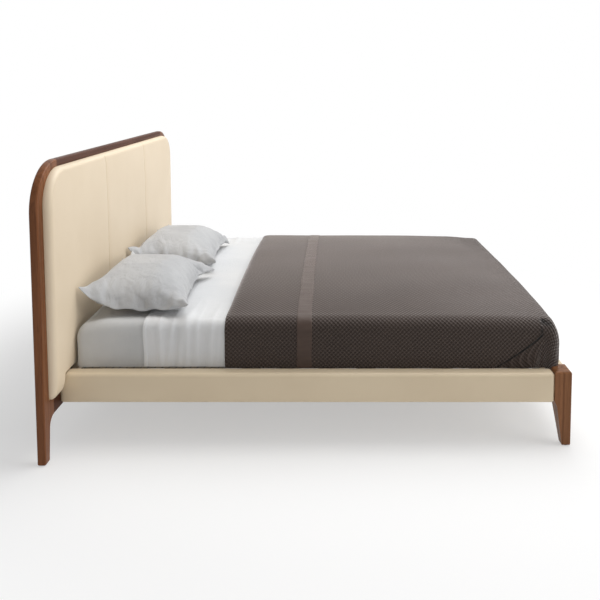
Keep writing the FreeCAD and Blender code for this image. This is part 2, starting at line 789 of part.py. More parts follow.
def make_beam_bracket(end, step, face, reach):
    """A folded steel saddle: a back plate, a tongue under the beam and two cheeks."""
    steel = SADDLE_STEEL
    low = plus(BEAM_LOW, -SADDLE_DROP)
    start = plus(face, 0 if step > 0 else -steel)
    plate = box(f"beam_bracket_{end}_plate", (start, -SADDLE_HALF, low),
                (steel, 2 * SADDLE_HALF, SADDLE_HEIGHT))
    start = plus(face, 0 if step > 0 else f"-({reach})")
    tongue = box(f"beam_bracket_{end}_tongue",
                 (start, f"-size.beam_width / 2 - {steel}", plus(BEAM_LOW, -steel)),
                 (reach, f"size.beam_width + 2 * {steel}", steel))
    cheeks = []
    for name, side in SIDES.items():
        across = "size.beam_width / 2" if side > 0 else f"-size.beam_width / 2 - {steel}"
        cheeks.append(box(f"beam_bracket_{end}_cheek_{name}", (start, across, plus(BEAM_LOW, -steel)),
                          (reach, steel, CHEEK_HEIGHT)))
    folded = joined(f"beam_bracket_{end}_folded", [plate, tongue] + cheeks)
    cut(f"beam_bracket_{end}", folded, holes(f"beam_bracket_{end}_hole", beam_screws(end), "screw"))


def make_corner_brackets():
    """Steel angles inside each corner of the frame, with their bolts."""
    for end, step, face in (("head", 1, HEAD_FACE), ("foot", -1, FOOT_FACE)):
        bolts = []
        for name, side in SIDES.items():
            outer = f"({RAIL_INSIDE})"
            start = face if step > 0 else plus(face, "-size.bracket_reach")
            across = plus(outer, "-size.bracket_steel") if side > 0 else times(-1, outer)
            along_rail = box(f"{end}_angle_{name}_rail", (start, across, BRACKET_BOTTOM),
                             ("size.bracket_reach", "size.bracket_steel", "size.bracket_height"))
            start = face if step > 0 else plus(face, "-size.bracket_steel")
            across = plus(outer, "-size.bracket_reach") if side > 0 else times(-1, outer)
            along_end = box(f"{end}_angle_{name}_end", (start, across, BRACKET_BOTTOM),
                            ("size.bracket_steel", "size.bracket_reach", "size.bracket_height"))
            angle = joined(f"{end}_angle_{name}", [along_rail, along_end])
            places = bracket_bolts(side, end)
            cut(f"{end}_bracket_{name}", angle, holes(f"{end}_angle_{name}_hole", places, "bolt"))
            bolts += places
        fasteners(f"{end}_bracket_bolts", bolts, "bolt")
    screws = ledge_screws(-1) + ledge_screws(1)
    fasteners("ledge_screws", screws, "screw")


# ---------------------------------------------------------------- mattress and bedding
MATTRESS_START = plus(HEAD_FACE, "size.cushion_depth + 4")
MATTRESS_TOP = f"({SLAT_TOP} + size.mattress_depth)"
SHEET_START = -712
SHEET_ABOVE_SLATS = 30
BEYOND = 400
COVERLET_END = "size.total_length / 2 - 32"
COVERLET_START = plus(COVERLET_END, "-size.coverlet_length")
RAIL_GAP = 1.5
LEG_GAP = 4
BAND_END = -2


def soft_block(label, low, high, roll, edges):
    """A block between two corners with some of its edges rounded."""
    outline = [(low[0], low[1], None), (high[0], low[1], None), (high[0], high[1], None),
               (low[0], high[1], None)]
    body = padded(label, "XY_Plane", low[2], outline, plus(high[2], times(-1, low[2])))
    return rounded(body, roll, edges) if roll else body


def make_mattress():
    """The mattress, its fitted sheet and the flat sheet under the coverlet."""
    half = "size.mattress_width / 2"
    low = (MATTRESS_START, times(-1, half), SLAT_TOP)
    high = (plus(MATTRESS_START, "size.mattress_length"), half, MATTRESS_TOP)
    keep(soft_block("mattress_body", low, high, "size.mattress_roll", along("z")), "mattress")
    for label, count, start in (("fitted_sheet", 1, None), ("flat_sheet", 2, SHEET_START)):
        skin = f"size.sheet_depth * {count}"
        outer_low = (plus(low[0], times(-1, skin)) if start is None else start,
                     plus(low[1], times(-1, skin)), plus(SLAT_TOP, SHEET_ABOVE_SLATS))
        outer_high = (plus(high[0], skin), plus(high[1], skin), plus(high[2], skin))
        shell = soft_block(f"{label}_shell", outer_low, outer_high, 0, None)
        less = f"size.sheet_depth * {count - 1}"
        hollow = box(f"{label}_hollow",
                     (plus(low[0], times(-1, less), -BEYOND if start is not None else 0),
                      plus(low[1], times(-1, less)), SLAT_TOP),
                     (plus("size.mattress_length", times(2, less), BEYOND if start is not None else 0),
                      plus("size.mattress_width", times(2, less)),
                      plus("size.mattress_depth", less)))
        cut(label, shell, [hollow])


def make_coverlet():
    """A quilted cover over the lower two thirds, with a smooth band sewn across it."""
    skin = "size.sheet_depth * 2 + 1"
    inner_half = plus("size.mattress_width / 2", skin)
    outer_half = plus(inner_half, "size.coverlet_side")
    bottom = plus("size.rail_top", RAIL_GAP)
    inner_top = plus(MATTRESS_TOP, skin)
    top = plus(inner_top, "size.coverlet_depth")
    low = (COVERLET_START, times(-1, outer_half), bottom)
    high = (COVERLET_END, outer_half, top)

    def dressed(name, inset):
        """The coverlet's outer shape, drawn in all over by an inset."""
        past = -OVERCUT if inset else 0
        start = plus(low[0], past)
        near = (start, plus(low[1], inset), plus(low[2], past))
        far = tuple(plus(place, -inset) for place in high)
        shell = soft_block(name, near, far, 0, None)

        def top_rim(edge):
            extent = edge.BoundBox
            return extent.ZMin > number(high[2]) - inset - 1 and extent.XMax > number(start) + 1
        return rounded(shell, f"size.coverlet_roll - {inset}", top_rim)
    foot = plus(MATTRESS_START, "size.mattress_length", skin)
    below = plus(bottom, -2 * OVERCUT)
    hollow = box("coverlet_hollow", (plus(COVERLET_START, -OVERCUT), times(-1, inner_half), below),
                 (f"({foot}) - ({COVERLET_START}) + {OVERCUT}", times(2, inner_half),
                  f"({inner_top}) - ({below})"))
    tools = [hollow]
    for name, side in SIDES.items():
        inner = f"size.frame_width / 2 - size.leg_depth - {LEG_GAP}"
        across = inner if side > 0 else f"-({inner}) - {BEYOND}"
        room_top = plus("size.leg_top", LEG_GAP)
        tools.append(box(f"coverlet_leg_room_{name}", (plus(FOOT_FACE, -LEG_GAP), across, below),
                         (BEYOND, BEYOND, f"({room_top}) - ({below})")))
    plain = cut("coverlet_plain", dressed("coverlet_shell", 0), tools)
    pieces.pop("coverlet_plain")
    slot = box("band_slot", (f"{BAND_END} - size.band_width", "-size.frame_width", below),
               ("size.band_width", "2 * size.frame_width", BEYOND))
    ring = doc.addObject("Part::Cut", "band_ring")
    ring.Base = slot
    ring.Tool = dressed("band_core", 2)
    band = doc.addObject("Part::Common", "coverlet_band_common")
    band.Base = plain
    band.Tool = ring
    keep(band, "coverlet_band")
    cut("coverlet", plain, [ring])


PILLOW_STARTS = {"left": -766, "right": -80}


def make_pillows():
    """Two stacks: a thin pillow, and a full one slumped over it onto the sheet."""
    gap = 1.5
    floor = plus(MATTRESS_TOP, "size.sheet_depth * 2", gap)
    back = plus(MATTRESS_START, 6)
    upper = plus(floor, "size.under_pillow_depth", gap)
    lower_front = plus(back, "size.under_pillow_width", gap)
    front = plus(back, "size.pillow_width")
    side_view = [
        (back, upper, None),
        (lower_front, upper, None),
        (lower_front, plus(floor, 12), None),
        (plus(lower_front, 24), floor, None),
        (front, floor, None),
        (front, plus(floor, 48), None),
        (plus(back, "size.pillow_width * 0.45"), plus(upper, "size.pillow_depth"), None),
        (back, plus(upper, "size.pillow_depth * 0.7"), None),
    ]
    for name, near in PILLOW_STARTS.items():
        start = plus(near, "size.pillow_length / 2 - size.under_pillow_length / 2")
        low = (back, start, floor)
        high = (plus(back, "size.under_pillow_width"), plus(start, "size.under_pillow_length"),
                plus(floor, "size.under_pillow_depth"))
        flat = soft_block(f"pillow_lower_{name}_body", low, high, "size.pillow_roll", along("z"))
        rounded(flat, "size.pillow_roll * 0.9", on_plane("Z", high[2]))
        keep(flat, f"pillow_lower_{name}")
        far = times(-1, plus(near, "size.pillow_length"))
        full = padded(f"pillow_upper_{name}_body", "XZ_Plane", far,
                      side_view, "size.pillow_length")
        keep(full, f"pillow_upper_{name}")


# ---------------------------------------------------------------- the whole bed
def build():
    make_posts()
    make_corners()
    make_head_bars()
    make_head_panel()
    make_head_padding()
    make_side_rails()
    make_foot_rail()
    make_foot_legs()
    make_glides()
    all_dowels()
    make_corner_brackets()
    make_ledges()
    make_slats()
    make_beam()
    make_mattress()
    make_coverlet()
    make_pillows()
    doc.recompute()


def check():
    for thing in doc.Objects:
        if "Invalid" in thing.State or "Error" in thing.State:
            raise ValueError(f"{thing.Label} failed: {thing.State}")
    for label, thing in pieces.items():
        if thing.Shape.isNull() or not thing.Shape.isValid() or thing.Shape.Volume <= 0:
            raise ValueError(f"{label} has no valid solid")


def write():
    os.makedirs("parts", exist_ok=True)
    for label, thing in pieces.items():
        thing.Shape.exportStep(f"parts/{label}.step")
        extent = thing.Shape.BoundBox
        print(f"{label:22s} {len(thing.Shape.Solids):3d} solids  "
              f"x {extent.XMin:8.1f} {extent.XMax:8.1f}  y {extent.YMin:8.1f} {extent.YMax:8.1f}  "
              f"z {extent.ZMin:7.1f} {extent.ZMax:7.1f}")
    print(len(pieces), "nodes")


build()
check()
write()
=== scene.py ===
# %% [markdown]
# # A dressed double bed
# The bed is a walnut headboard frame round a leather pad, leather-covered rails on tapered
# legs, and a mattress with sheets, four pillows and a quilted coverlet. The hard parts come
# ready made from the CAD model and only get their finishes here. Everything soft is modelled
# again, because leather and cloth are never as flat or as sharp as a CAD solid.
#
# Units are metres. X runs from the head to the foot, Y across the bed and Z up.

# %% Load the frame and keep its size
import math

import bmesh
import bpy
import numpy as np
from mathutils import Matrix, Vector


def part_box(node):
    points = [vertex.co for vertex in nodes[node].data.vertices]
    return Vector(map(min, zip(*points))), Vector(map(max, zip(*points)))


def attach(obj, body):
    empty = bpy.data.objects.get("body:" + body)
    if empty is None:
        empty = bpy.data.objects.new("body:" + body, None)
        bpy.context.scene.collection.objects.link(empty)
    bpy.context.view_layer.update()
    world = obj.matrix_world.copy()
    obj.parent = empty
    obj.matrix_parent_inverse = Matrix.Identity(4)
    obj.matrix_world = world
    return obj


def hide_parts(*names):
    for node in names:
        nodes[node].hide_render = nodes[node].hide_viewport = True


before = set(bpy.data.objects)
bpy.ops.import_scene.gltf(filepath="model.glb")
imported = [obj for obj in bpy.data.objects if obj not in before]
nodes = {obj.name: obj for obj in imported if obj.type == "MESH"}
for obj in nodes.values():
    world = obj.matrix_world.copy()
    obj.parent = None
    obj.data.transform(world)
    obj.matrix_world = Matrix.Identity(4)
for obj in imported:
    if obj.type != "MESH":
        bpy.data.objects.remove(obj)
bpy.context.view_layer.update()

# %% [markdown]
# ## The camera
# The bed is seen square on from its long side, from standing height. The camera hardly tilts,
# so that upright edges stay upright, and a little lens shift brings the bed into the frame.

# %% Set up the camera
def add_camera(place, tilt, lens, shift):
    """A camera that looks along +Y, tilted down by some degrees."""
    bpy.ops.object.camera_add(location=place, rotation=(math.radians(90 - tilt), 0, 0))
    camera = bpy.context.object
    camera.data.lens = lens
    camera.data.sensor_width = 36
    camera.data.shift_x, camera.data.shift_y = shift
    bpy.context.scene.camera = camera
    return camera


camera = add_camera((0.094, -3.577, 1.497), 4.5, 40.65, (-0.0576, -0.2699))
print("camera height:", round(camera.location.z, 2))

# %% [markdown]
# ## Finishes
# A finish is a node tree: patterns read a place on the piece, and feed the colour, the
# roughness and the bump of one Principled shader. This small class keeps the trees short.
# Timber, leather and steel read Object coordinates, so that a pattern has its real size on
# every part. Cloth that is cut flat and then laid reads its own flat map instead.

# %% A helper for finishes
class Finish:
    """A material with one Principled shader, and the few steps that every finish needs."""

    def __init__(self, name, roughness=0.5, **settings):
        self.material = bpy.data.materials.new(name)
        self.material.use_nodes = True
        self.tree = self.material.node_tree
        self.tree.nodes.clear()
        self.shader = self.add("ShaderNodeBsdfPrincipled", {"Roughness": roughness})
        for socket, value in settings.items():
            self.shader.inputs[socket.replace("_", " ")].default_value = value
        output = self.add("ShaderNodeOutputMaterial")
        self.link(self.shader.outputs[0], output.inputs["Surface"])
        self.spot = self.add("ShaderNodeTexCoord").outputs["Object"]

    def add(self, kind, sockets=None, **settings):
        node = self.tree.nodes.new(kind)
        for name, value in settings.items():
            setattr(node, name, value)
        for socket, value in (sockets or {}).items():
            if isinstance(value, bpy.types.NodeSocket):
                self.link(value, node.inputs[socket])
            else:
                node.inputs[socket].default_value = value
        return node

    def link(self, source, target):
        self.tree.links.new(source, target)

    def flat_map(self, turn=0.0):
        """The cloth's own flat place, in metres, turned by some degrees."""
        place = self.add("ShaderNodeUVMap", uv_map="flat").outputs[0]
        return self.stretched(place, (1, 1, 1), (0, 0, math.radians(turn)))

    def stretched(self, place, scale, turn=(0, 0, 0)):
        return self.add("ShaderNodeMapping", {"Vector": place, "Scale": scale, "Rotation": turn}).outputs[0]

    def noise(self, place, scale, detail=3.0, roughness=0.5, distortion=0.0):
        sockets = {"Vector": place, "Scale": scale, "Detail": detail,
                   "Roughness": roughness, "Distortion": distortion}
        return self.add("ShaderNodeTexNoise", sockets).outputs[0]

    def waves(self, place, spacing, direction="X"):
        """Smooth ridges that repeat at a spacing in metres."""
        sockets = {"Vector": place, "Scale": math.pi / 10 / spacing, "Distortion": 0.0}
        return self.add("ShaderNodeTexWave", sockets, bands_direction=direction).outputs["Fac"]

    def math(self, operation, first, second):
        return self.add("ShaderNodeMath", {0: first, 1: second}, operation=operation).outputs[0]

    def between(self, value, low, high, to_low=0.0, to_high=1.0):
        sockets = {"Value": value, "From Min": low, "From Max": high,
                   "To Min": to_low, "To Max": to_high}
        return self.add("ShaderNodeMapRange", sockets, interpolation_type="SMOOTHSTEP").outputs[0]

    def ramp(self, value, *stops):
        """A colour ramp; each stop is a place and a linear colour."""
        node = self.add("ShaderNodeValToRGB", {"Fac": value})
        elements = node.color_ramp.elements
        while len(elements) < len(stops):
            elements.new(0.5)
        for element, (place, colour) in zip(elements, stops):
            element.position, element.color = place, (*colour, 1.0)
        return node.outputs["Color"]

    def mix(self, share, first, second, blend="MIX"):
        node = self.add("ShaderNodeMix", {"Factor": share}, data_type="RGBA", blend_type=blend)
        for socket, value in zip((node.inputs[6], node.inputs[7]), (first, second)):
            if isinstance(value, bpy.types.NodeSocket):
                self.link(value, socket)
            else:
                socket.default_value = (*value, 1.0)
        return node.outputs[2]

    def colour(self, source):
        self.link(source, self.shader.inputs["Base Color"])

    def roughness(self, source):
        self.link(source, self.shader.inputs["Roughness"])

    def bump(self, *layers):
        """Bump in layers, each a height pattern and its depth in metres."""
        normal = None
        for height, depth in layers:
            node = self.add("ShaderNodeBump", {"Height": height, "Distance": depth, "Strength": 1.0})
            if normal is not None:
                self.link(normal, node.inputs["Normal"])
            normal = node.outputs[0]
        self.link(normal, self.shader.inputs["Normal"])


def give(finish, *pieces):
    """Puts a finish on pieces, in place of what they had."""
    for piece in pieces:
        piece = nodes[piece] if isinstance(piece, str) else piece
        piece.data.materials.clear()
        piece.data.materials.append(finish.material)


# %% [markdown]
# ## Light, floor and background
# A large soft lamp overhead, a little towards the foot, is the main light. A weak one in front
# keeps the near side readable. The floor is a pale sheet that keeps the bed's shadow. Further
# out it fades to plain white for the camera only, so no lamp has to be bright to make it white.

# %% Light the bed
def add_lamp(name, place, aim, power, width, height):
    bpy.ops.object.light_add(type="AREA", location=place)
    lamp = bpy.context.object
    lamp.name = name
    lamp.data.shape = "RECTANGLE"
    lamp.data.size, lamp.data.size_y = width, height
    lamp.data.energy = power
    lamp.rotation_euler = (Vector(aim) - Vector(place)).to_track_quat("-Z", "Y").to_euler()


add_lamp("overhead", (0.8, 0.6, 3.6), (0.1, 0.1, 0.3), 144, 4.0, 3.2)
add_lamp("foot_side", (4.2, -1.2, 2.2), (-0.6, 0, 0.6), 55, 2.4, 2.4)
add_lamp("front", (-0.6, -5.2, 2.2), (0, 0, 0.4), 20, 3.5, 2.5)


def seen_directly(tree):
    """1 where the camera, a reflection or a clear surface looks at the background."""
    path = tree.nodes.new("ShaderNodeLightPath")
    total = path.outputs["Is Camera Ray"]
    for kind in ("Is Glossy Ray", "Is Transmission Ray"):
        either = tree.nodes.new("ShaderNodeMath")
        either.operation = "MAXIMUM"
        tree.links.new(total, either.inputs[0])
        tree.links.new(path.outputs[kind], either.inputs[1])
        total = either.outputs[0]
    return total


def add_world(light):
    """White where it is looked at, and a dimmer light on the bed."""
    world = bpy.data.worlds.new("studio")
    bpy.context.scene.world = world
    world.use_nodes = True
    tree = world.node_tree
    strength = tree.nodes.new("ShaderNodeMapRange")
    strength.inputs["To Min"].default_value = light
    strength.inputs["To Max"].default_value = 1.0
    tree.links.new(seen_directly(tree), strength.inputs["Value"])
    background = tree.nodes["Background"]
    background.inputs["Color"].default_value = (1, 1, 1, 1)
    tree.links.new(strength.outputs[0], background.inputs["Strength"])


def add_floor():
    bpy.ops.mesh.primitive_plane_add(size=60)
    floor = bpy.context.object
    floor.name = "floor"
    finish = Finish("pale_floor", 0.9)
    finish.shader.inputs["Base Color"].default_value = (0.9, 0.9, 0.9, 1)
    white = finish.add("ShaderNodeEmission", {"Color": (1, 1, 1, 1), "Strength": 1.0})
    reach = finish.add("ShaderNodeVectorMath", {0: finish.spot}, operation="LENGTH").outputs["Value"]
    far = finish.between(reach, 1.5, 2.6, 0.45, 1.0)
    share = finish.math("MULTIPLY", far, seen_directly(finish.tree))
    blend = finish.add("ShaderNodeMixShader", {0: share, 1: finish.shader.outputs[0], 2: white.outputs[0]})
    output = next(n for n in finish.tree.nodes if n.type == "OUTPUT_MATERIAL")
    finish.link(blend.outputs[0], output.inputs["Surface"])
    give(finish, floor)


add_world(0.30)
add_floor()
bpy.context.scene.view_settings.view_transform = "Standard"

# %% [markdown]
# ## Walnut
# Walnut has long growth lines along the board, a slow change from light to dark across it,
# and fine open pores. One pattern is squeezed along the grain, so each part needs its grain
# direction: upright in the posts and legs, across the bed in the bars. The bars get a darker
# copy of the walnut, as painted shade, and the foot legs a paler one. A thin satin lacquer
# gives the uprights a soft highlight. The hidden parts are pine, birch and plywood, paler and
# without lacquer.

# %% Make the timber finishes
def timber(name, grain, dark, light, lines, roughness, coat=0.0):
    """Timber with its grain along an axis, from dark to light linear colours."""
    finish = Finish(name, roughness, Coat_Weight=coat, Coat_Roughness=0.2, Specular_IOR_Level=0.12)
    along = {"x": (0.035, 1, 1), "y": (1, 0.035, 1), "z": (1, 1, 0.035)}[grain]
    place = finish.stretched(finish.spot, along)
    figure = finish.noise(place, lines, 5.0, 0.62, 0.9)
    slow = finish.noise(place, lines / 5, 2.0, 0.5, 0.4)
    pores = finish.noise(place, lines * 16, 2.0, 0.6)
    middle = tuple((a + b) / 2 for a, b in zip(dark, light))
    lined = finish.ramp(figure, (0.30, dark), (0.5, middle), (0.72, light))
    toned = finish.mix(finish.between(slow, 0.32, 0.68, 0.0, 0.55), lined,
                       tuple(0.62 * c for c in light))
    fine = finish.between(pores, 0.30, 0.46, 0.72, 1.0)
    shade = finish.add("ShaderNodeCombineColor", {0: fine, 1: fine, 2: fine}).outputs[0]
    finish.colour(finish.mix(1.0, toned, shade, "MULTIPLY"))
    finish.roughness(finish.between(figure, 0.2, 0.8, roughness + 0.08, roughness - 0.08))
    finish.bump((figure, 0.0004), (pores, 0.00025))
    return finish


WALNUT_DARK, WALNUT_LIGHT = (0.078, 0.025, 0.0085), (0.265, 0.098, 0.036)
walnut_upright = timber("walnut_upright", "z", WALNUT_DARK, WALNUT_LIGHT, 30, 0.40, 0.08)
# Painted shade: the bars' walnut is the posts' walnut painted darker.
walnut_across = timber("walnut_across", "y", (0.032, 0.009, 0.004), (0.11, 0.036, 0.016), 30, 0.48)
walnut_leg = timber("walnut_leg", "z", (0.092, 0.036, 0.013), (0.285, 0.122, 0.052), 34, 0.42, 0.08)
give(walnut_upright, "head_post_left", "head_post_right", "head_corner_left", "head_corner_right")
give(walnut_across, "head_top_bar", "head_bottom_rail")
give(walnut_leg, "foot_leg_left", "foot_leg_right")

PINE_DARK, PINE_LIGHT = (0.42, 0.25, 0.11), (0.66, 0.46, 0.25)
pine_long = timber("pine_long", "x", PINE_DARK, PINE_LIGHT, 22, 0.6)
pine_across = timber("pine_across", "y", PINE_DARK, PINE_LIGHT, 22, 0.6)
pine_upright = timber("pine_upright", "z", PINE_DARK, PINE_LIGHT, 22, 0.6)
birch_slat = timber("birch_slat", "y", (0.55, 0.38, 0.20), (0.78, 0.60, 0.38), 30, 0.5)
ply = timber("plywood", "y", (0.44, 0.29, 0.15), (0.66, 0.48, 0.28), 12, 0.6)
give(pine_long, "side_rail_left_core", "side_rail_right_core", "side_ledge_left",
     "side_ledge_right", "centre_beam", "foot_dowels")
give(pine_across, "foot_rail_core", "head_dowels")
give(pine_upright, "centre_leg_1", "centre_leg_2")
give(birch_slat, *(name for name in nodes if name.startswith("slat_") and name != "slat_screws"))
give(ply, "head_panel")
timbers = [m.name for m in bpy.data.materials if m.name.startswith(("walnut", "pine", "birch", "ply"))]
print("timber finishes:", len(timbers))

# %% [markdown]
# ## Metal and plastic
# The brackets are powder-coated black, which leaves a fine pebbled skin. Screws and bolts are
# zinc plated: bright, faintly streaked. The glides and pads are moulded plastic with a slight
# grain, scuffed paler in soft patches.

# %% Make the metal and plastic finishes
def coated(name, colour, roughness, grain, depth, metal=0.0, streak=(1, 1, 1)):
    finish = Finish(name, roughness, Metallic=metal)
    place = finish.stretched(finish.spot, streak)
    fine = finish.noise(place, grain, 3.0, 0.6)
    slow = finish.noise(finish.spot, 18.0, 2.0)
    worn = tuple(min(1.0, 1.5 * c) for c in colour)
    finish.colour(finish.mix(finish.between(slow, 0.45, 0.75, 0.0, 0.5), colour, worn))
    finish.roughness(finish.between(fine, 0.2, 0.8, roughness - 0.1, roughness + 0.12))
    finish.bump((fine, depth))
    return finish


black_coat = coated("black_powder_coat", (0.018, 0.018, 0.019), 0.5, 900.0, 0.0002)
zinc = coated("zinc_plate", (0.52, 0.53, 0.55), 0.34, 400.0, 0.00005, 1.0, (1, 1, 0.1))
plastic = coated("moulded_plastic", (0.03, 0.027, 0.024), 0.55, 1500.0, 0.0001)
give(black_coat, *(name for name in nodes if "bracket" in name and "bolts" not in name))
give(zinc, *(name for name in nodes if name.endswith(("_bolts", "_screws", "_studs"))))
give(plastic, "corner_glides", "centre_leg_pads")
print("metal and plastic parts:", len([n for n in nodes if "bracket" in n or "screws" in n]))

# %% [markdown]
# ## Tools for soft pieces
# A soft piece starts as a primitive or a flat grid, gets its outline with edit operators, and
# is then pushed into shape vertex by vertex, the way an upholsterer pads and pulls a cover.

# %% Helpers for modelling
def alone(piece=None):
    """Leaves edit mode and selects only this piece, or nothing."""
    if bpy.context.object and bpy.context.object.mode != "OBJECT":
        bpy.ops.object.mode_set(mode="OBJECT")
    bpy.ops.object.select_all(action="DESELECT")
    if piece is not None:
        piece.select_set(True)
        bpy.context.view_layer.objects.active = piece


def edit_all():
    """Enters edit mode with everything selected."""
    bpy.ops.object.mode_set(mode="EDIT")
    bpy.ops.mesh.select_all(action="SELECT")


def extrude(*offset):
    bpy.ops.mesh.extrude_region_move(TRANSFORM_OT_translate={"value": offset})


def block(name, low, high):
    """A box between two corners, in edit mode."""
    alone()
    bpy.ops.mesh.primitive_cube_add(size=1, location=(low + high) / 2, scale=high - low)
    piece = bpy.context.object
    piece.name = piece.data.name = name
    bpy.ops.object.transform_apply(location=True, rotation=True, scale=True)
    edit_all()
    return piece


def cut_across(low, high, shares, *normals):
    """In edit mode, cuts the piece by planes at shares of the way from low to high."""
    for share in shares:
        for normal in normals:
            bpy.ops.mesh.select_all(action="SELECT")
            bpy.ops.mesh.bisect(plane_co=low.lerp(high, share), plane_no=normal)


def pick(piece, wanted, kind="FACE"):
    """In edit mode, selects the vertices, edges or faces whose middle passes a test."""
    bpy.ops.mesh.select_mode(type=kind)
    bpy.ops.mesh.select_all(action="DESELECT")
    mesh = bmesh.from_edit_mesh(piece.data)
    for part in {"VERT": mesh.verts, "EDGE": mesh.edges, "FACE": mesh.faces}[kind]:
        corners = [part] if kind == "VERT" else part.verts
        if wanted(sum((v.co for v in corners), Vector()) / len(corners)):
            part.select_set(True)
    mesh.select_flush_mode()
    bmesh.update_edit_mesh(piece.data)


def points_of(piece):
    points = np.empty(3 * len(piece.data.vertices))
    piece.data.vertices.foreach_get("co", points)
    return points.reshape(-1, 3)


def set_points(piece, *columns):
    piece.data.vertices.foreach_set("co", np.stack(columns, axis=1).ravel())
    piece.data.update()


def finish_with(piece, kind, **settings):
    """Adds a modifier and applies it."""
    alone(piece)
    modifier = piece.modifiers.new(kind.lower(), kind)
    for name, value in settings.items():
        setattr(modifier, name, value)
    bpy.ops.object.modifier_apply(modifier=modifier.name)


def smooth(piece, angle=40):
    alone(piece)
    bpy.ops.object.shade_smooth_by_angle(angle=math.radians(angle))


def flat_grid(name, columns, rows):
    """A grid with a vertex at each column and row, and its index for each."""
    alone()
    bpy.ops.mesh.primitive_grid_add(x_subdivisions=len(columns) - 1, y_subdivisions=len(rows) - 1, size=2)
    piece = bpy.context.object
    piece.name = piece.data.name = name
    points = points_of(piece)
    column = np.rint((points[:, 0] + 1) / 2 * (len(columns) - 1)).astype(int)
    row = np.rint((points[:, 1] + 1) / 2 * (len(rows) - 1)).astype(int)
    return piece, column, row


def spaced(low, high, breaks, fine, coarse, reach):
    """Places from low to high, fine beside the breaks and coarse away from them."""
    walk = np.linspace(low, high, 4001)
    near = np.min([np.abs(walk - b) for b in breaks], axis=0)
    step = fine + (coarse - fine) * np.minimum(1.0, near / reach)
    count = np.concatenate([[0.0], np.cumsum((high - low) / 4000 / step[1:])])
    places = np.interp(np.linspace(0, count[-1], int(math.ceil(count[-1])) + 1), count, walk)
    for stop in breaks:
        places[np.abs(places - stop).argmin()] = stop
    return places


def ripple(x, y, size, seed, waves=14):
    """Smooth seeded unevenness, from about -1 to 1."""
    chance = np.random.RandomState(seed)
    total = np.zeros_like(x)
    for _ in range(waves):
        way, pitch = chance.uniform(0, math.pi), 2 * math.pi / size * chance.uniform(0.6, 1.6)
        total += np.sin(pitch * (x * math.cos(way) + y * math.sin(way)) + chance.uniform(0, 6.28))
    return total / math.sqrt(waves) / 1.4


def eased(value):
    value = np.clip(value, 0.0, 1.0)
    return value * value * (3 - 2 * value)


def bell(distance, width):
    """A smooth bump: 1 at no distance, and nearly gone two widths away."""
    return np.exp(-(distance / width) ** 2)


def rounded_over(inside, roll):
    """Height share of a rolled edge, at a distance inside the outline."""
    near = 1 - np.clip(inside / roll, 0.0, 1.0)
    return np.sqrt(1 - near * near)


def in_corner(far, deep, radius):
    """Bends the square corner of a grid to a round one; both distances are past its centre."""
    a, b = np.clip(far / radius, 0, 1), np.clip(deep / radius, 0, 1)
    return radius * a * np.sqrt(1 - b * b / 2), radius * b * np.sqrt(1 - a * a / 2)


def round_off(across, up, wide, level, radius, way=1):
    """Rounds both corners of a grid at a level: the top ones, or with way -1 the lower ones."""
    far, deep = np.abs(across) - (wide - radius), way * (up - level) + radius
    inside = (far > 0) & (deep > 0)
    bent_far, bent_deep = in_corner(far, deep, radius)
    across = np.where(inside, np.sign(across) * (wide - radius + bent_far), across)
    return across, np.where(inside, level - way * (radius - bent_deep), up)


def squarer(out_x, out_y, share):
    """Pushes the middle of a round corner out, so that the corner gets squarer."""
    return 1 + share * (2 * out_x * out_y) ** 2


def stand_in(piece, finish, slot, body, *names):
    """Gives a piece its finish and body, in place of the CAD parts it stands for. The slot is not used."""
    give(finish, piece)
    if names:
        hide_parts(*names)
    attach(piece, body)


# %% [markdown]
# ## Leather
# The cream hide is dyed through and lightly finished: a fine pebbled grain of rounded cells,
# small creases, a cloudy change of tone and a satin shine that is duller in the hollows. The
# rails get the same hide painted a shade darker, as painted shade.

# %% Make the leather finishes
def leather(name, colour, deep):
    finish = Finish(name, 0.46, Sheen_Weight=0.06)
    cells = finish.add("ShaderNodeTexVoronoi", {"Vector": finish.spot, "Scale": 520.0, "Randomness": 1.0},
                       feature="SMOOTH_F1").outputs["Distance"]
    creases = finish.noise(finish.spot, 120.0, 5.0, 0.6, 0.8)
    cloud = finish.noise(finish.spot, 3.2, 3.0, 0.55)
    finish.colour(finish.mix(finish.between(cloud, 0.3, 0.72), deep, colour))
    finish.roughness(finish.between(cells, 0.1, 0.7, 0.42, 0.56))
    finish.bump((cells, 0.00018), (creases, 0.0003))
    return finish


cream_leather = leather("cream_leather", (0.765, 0.64, 0.475), (0.735, 0.61, 0.445))
# Painted shade: the rails' hide is the headboard's hide painted darker.
rail_leather = leather("rail_leather", (0.70, 0.58, 0.41), (0.67, 0.55, 0.385))
print("leather finishes ready")

# %% [markdown]
# ## The headboard pad
# The pad is foam on a board, covered with three leather panels sewn edge to edge. It follows
# the round corners of the walnut frame, rolls over at its edges, swells slightly in the
# middle, and is cut away where the two side rails meet the board. A flat grid gets that
# outline, is extruded into a closed pad, and its front is then padded out. Each seam pulls
# the foam into a narrow groove, with small puckers beside it.

# %% Model the headboard pad
PAD_LOW, PAD_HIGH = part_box("head_leather_cover")
PAD_CORNER, PAD_FOOT_CORNER, SEAM = 0.148, 0.024, 0.325
PAD_EDGE = 0.005  # how thick the pad still is at its edges
rail_low, rail_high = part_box("side_rail_right_cover")
NOTCH_IN, NOTCH_OUT, NOTCH_TOP = 0.736, rail_high.y + 0.003, rail_high.z + 0.003


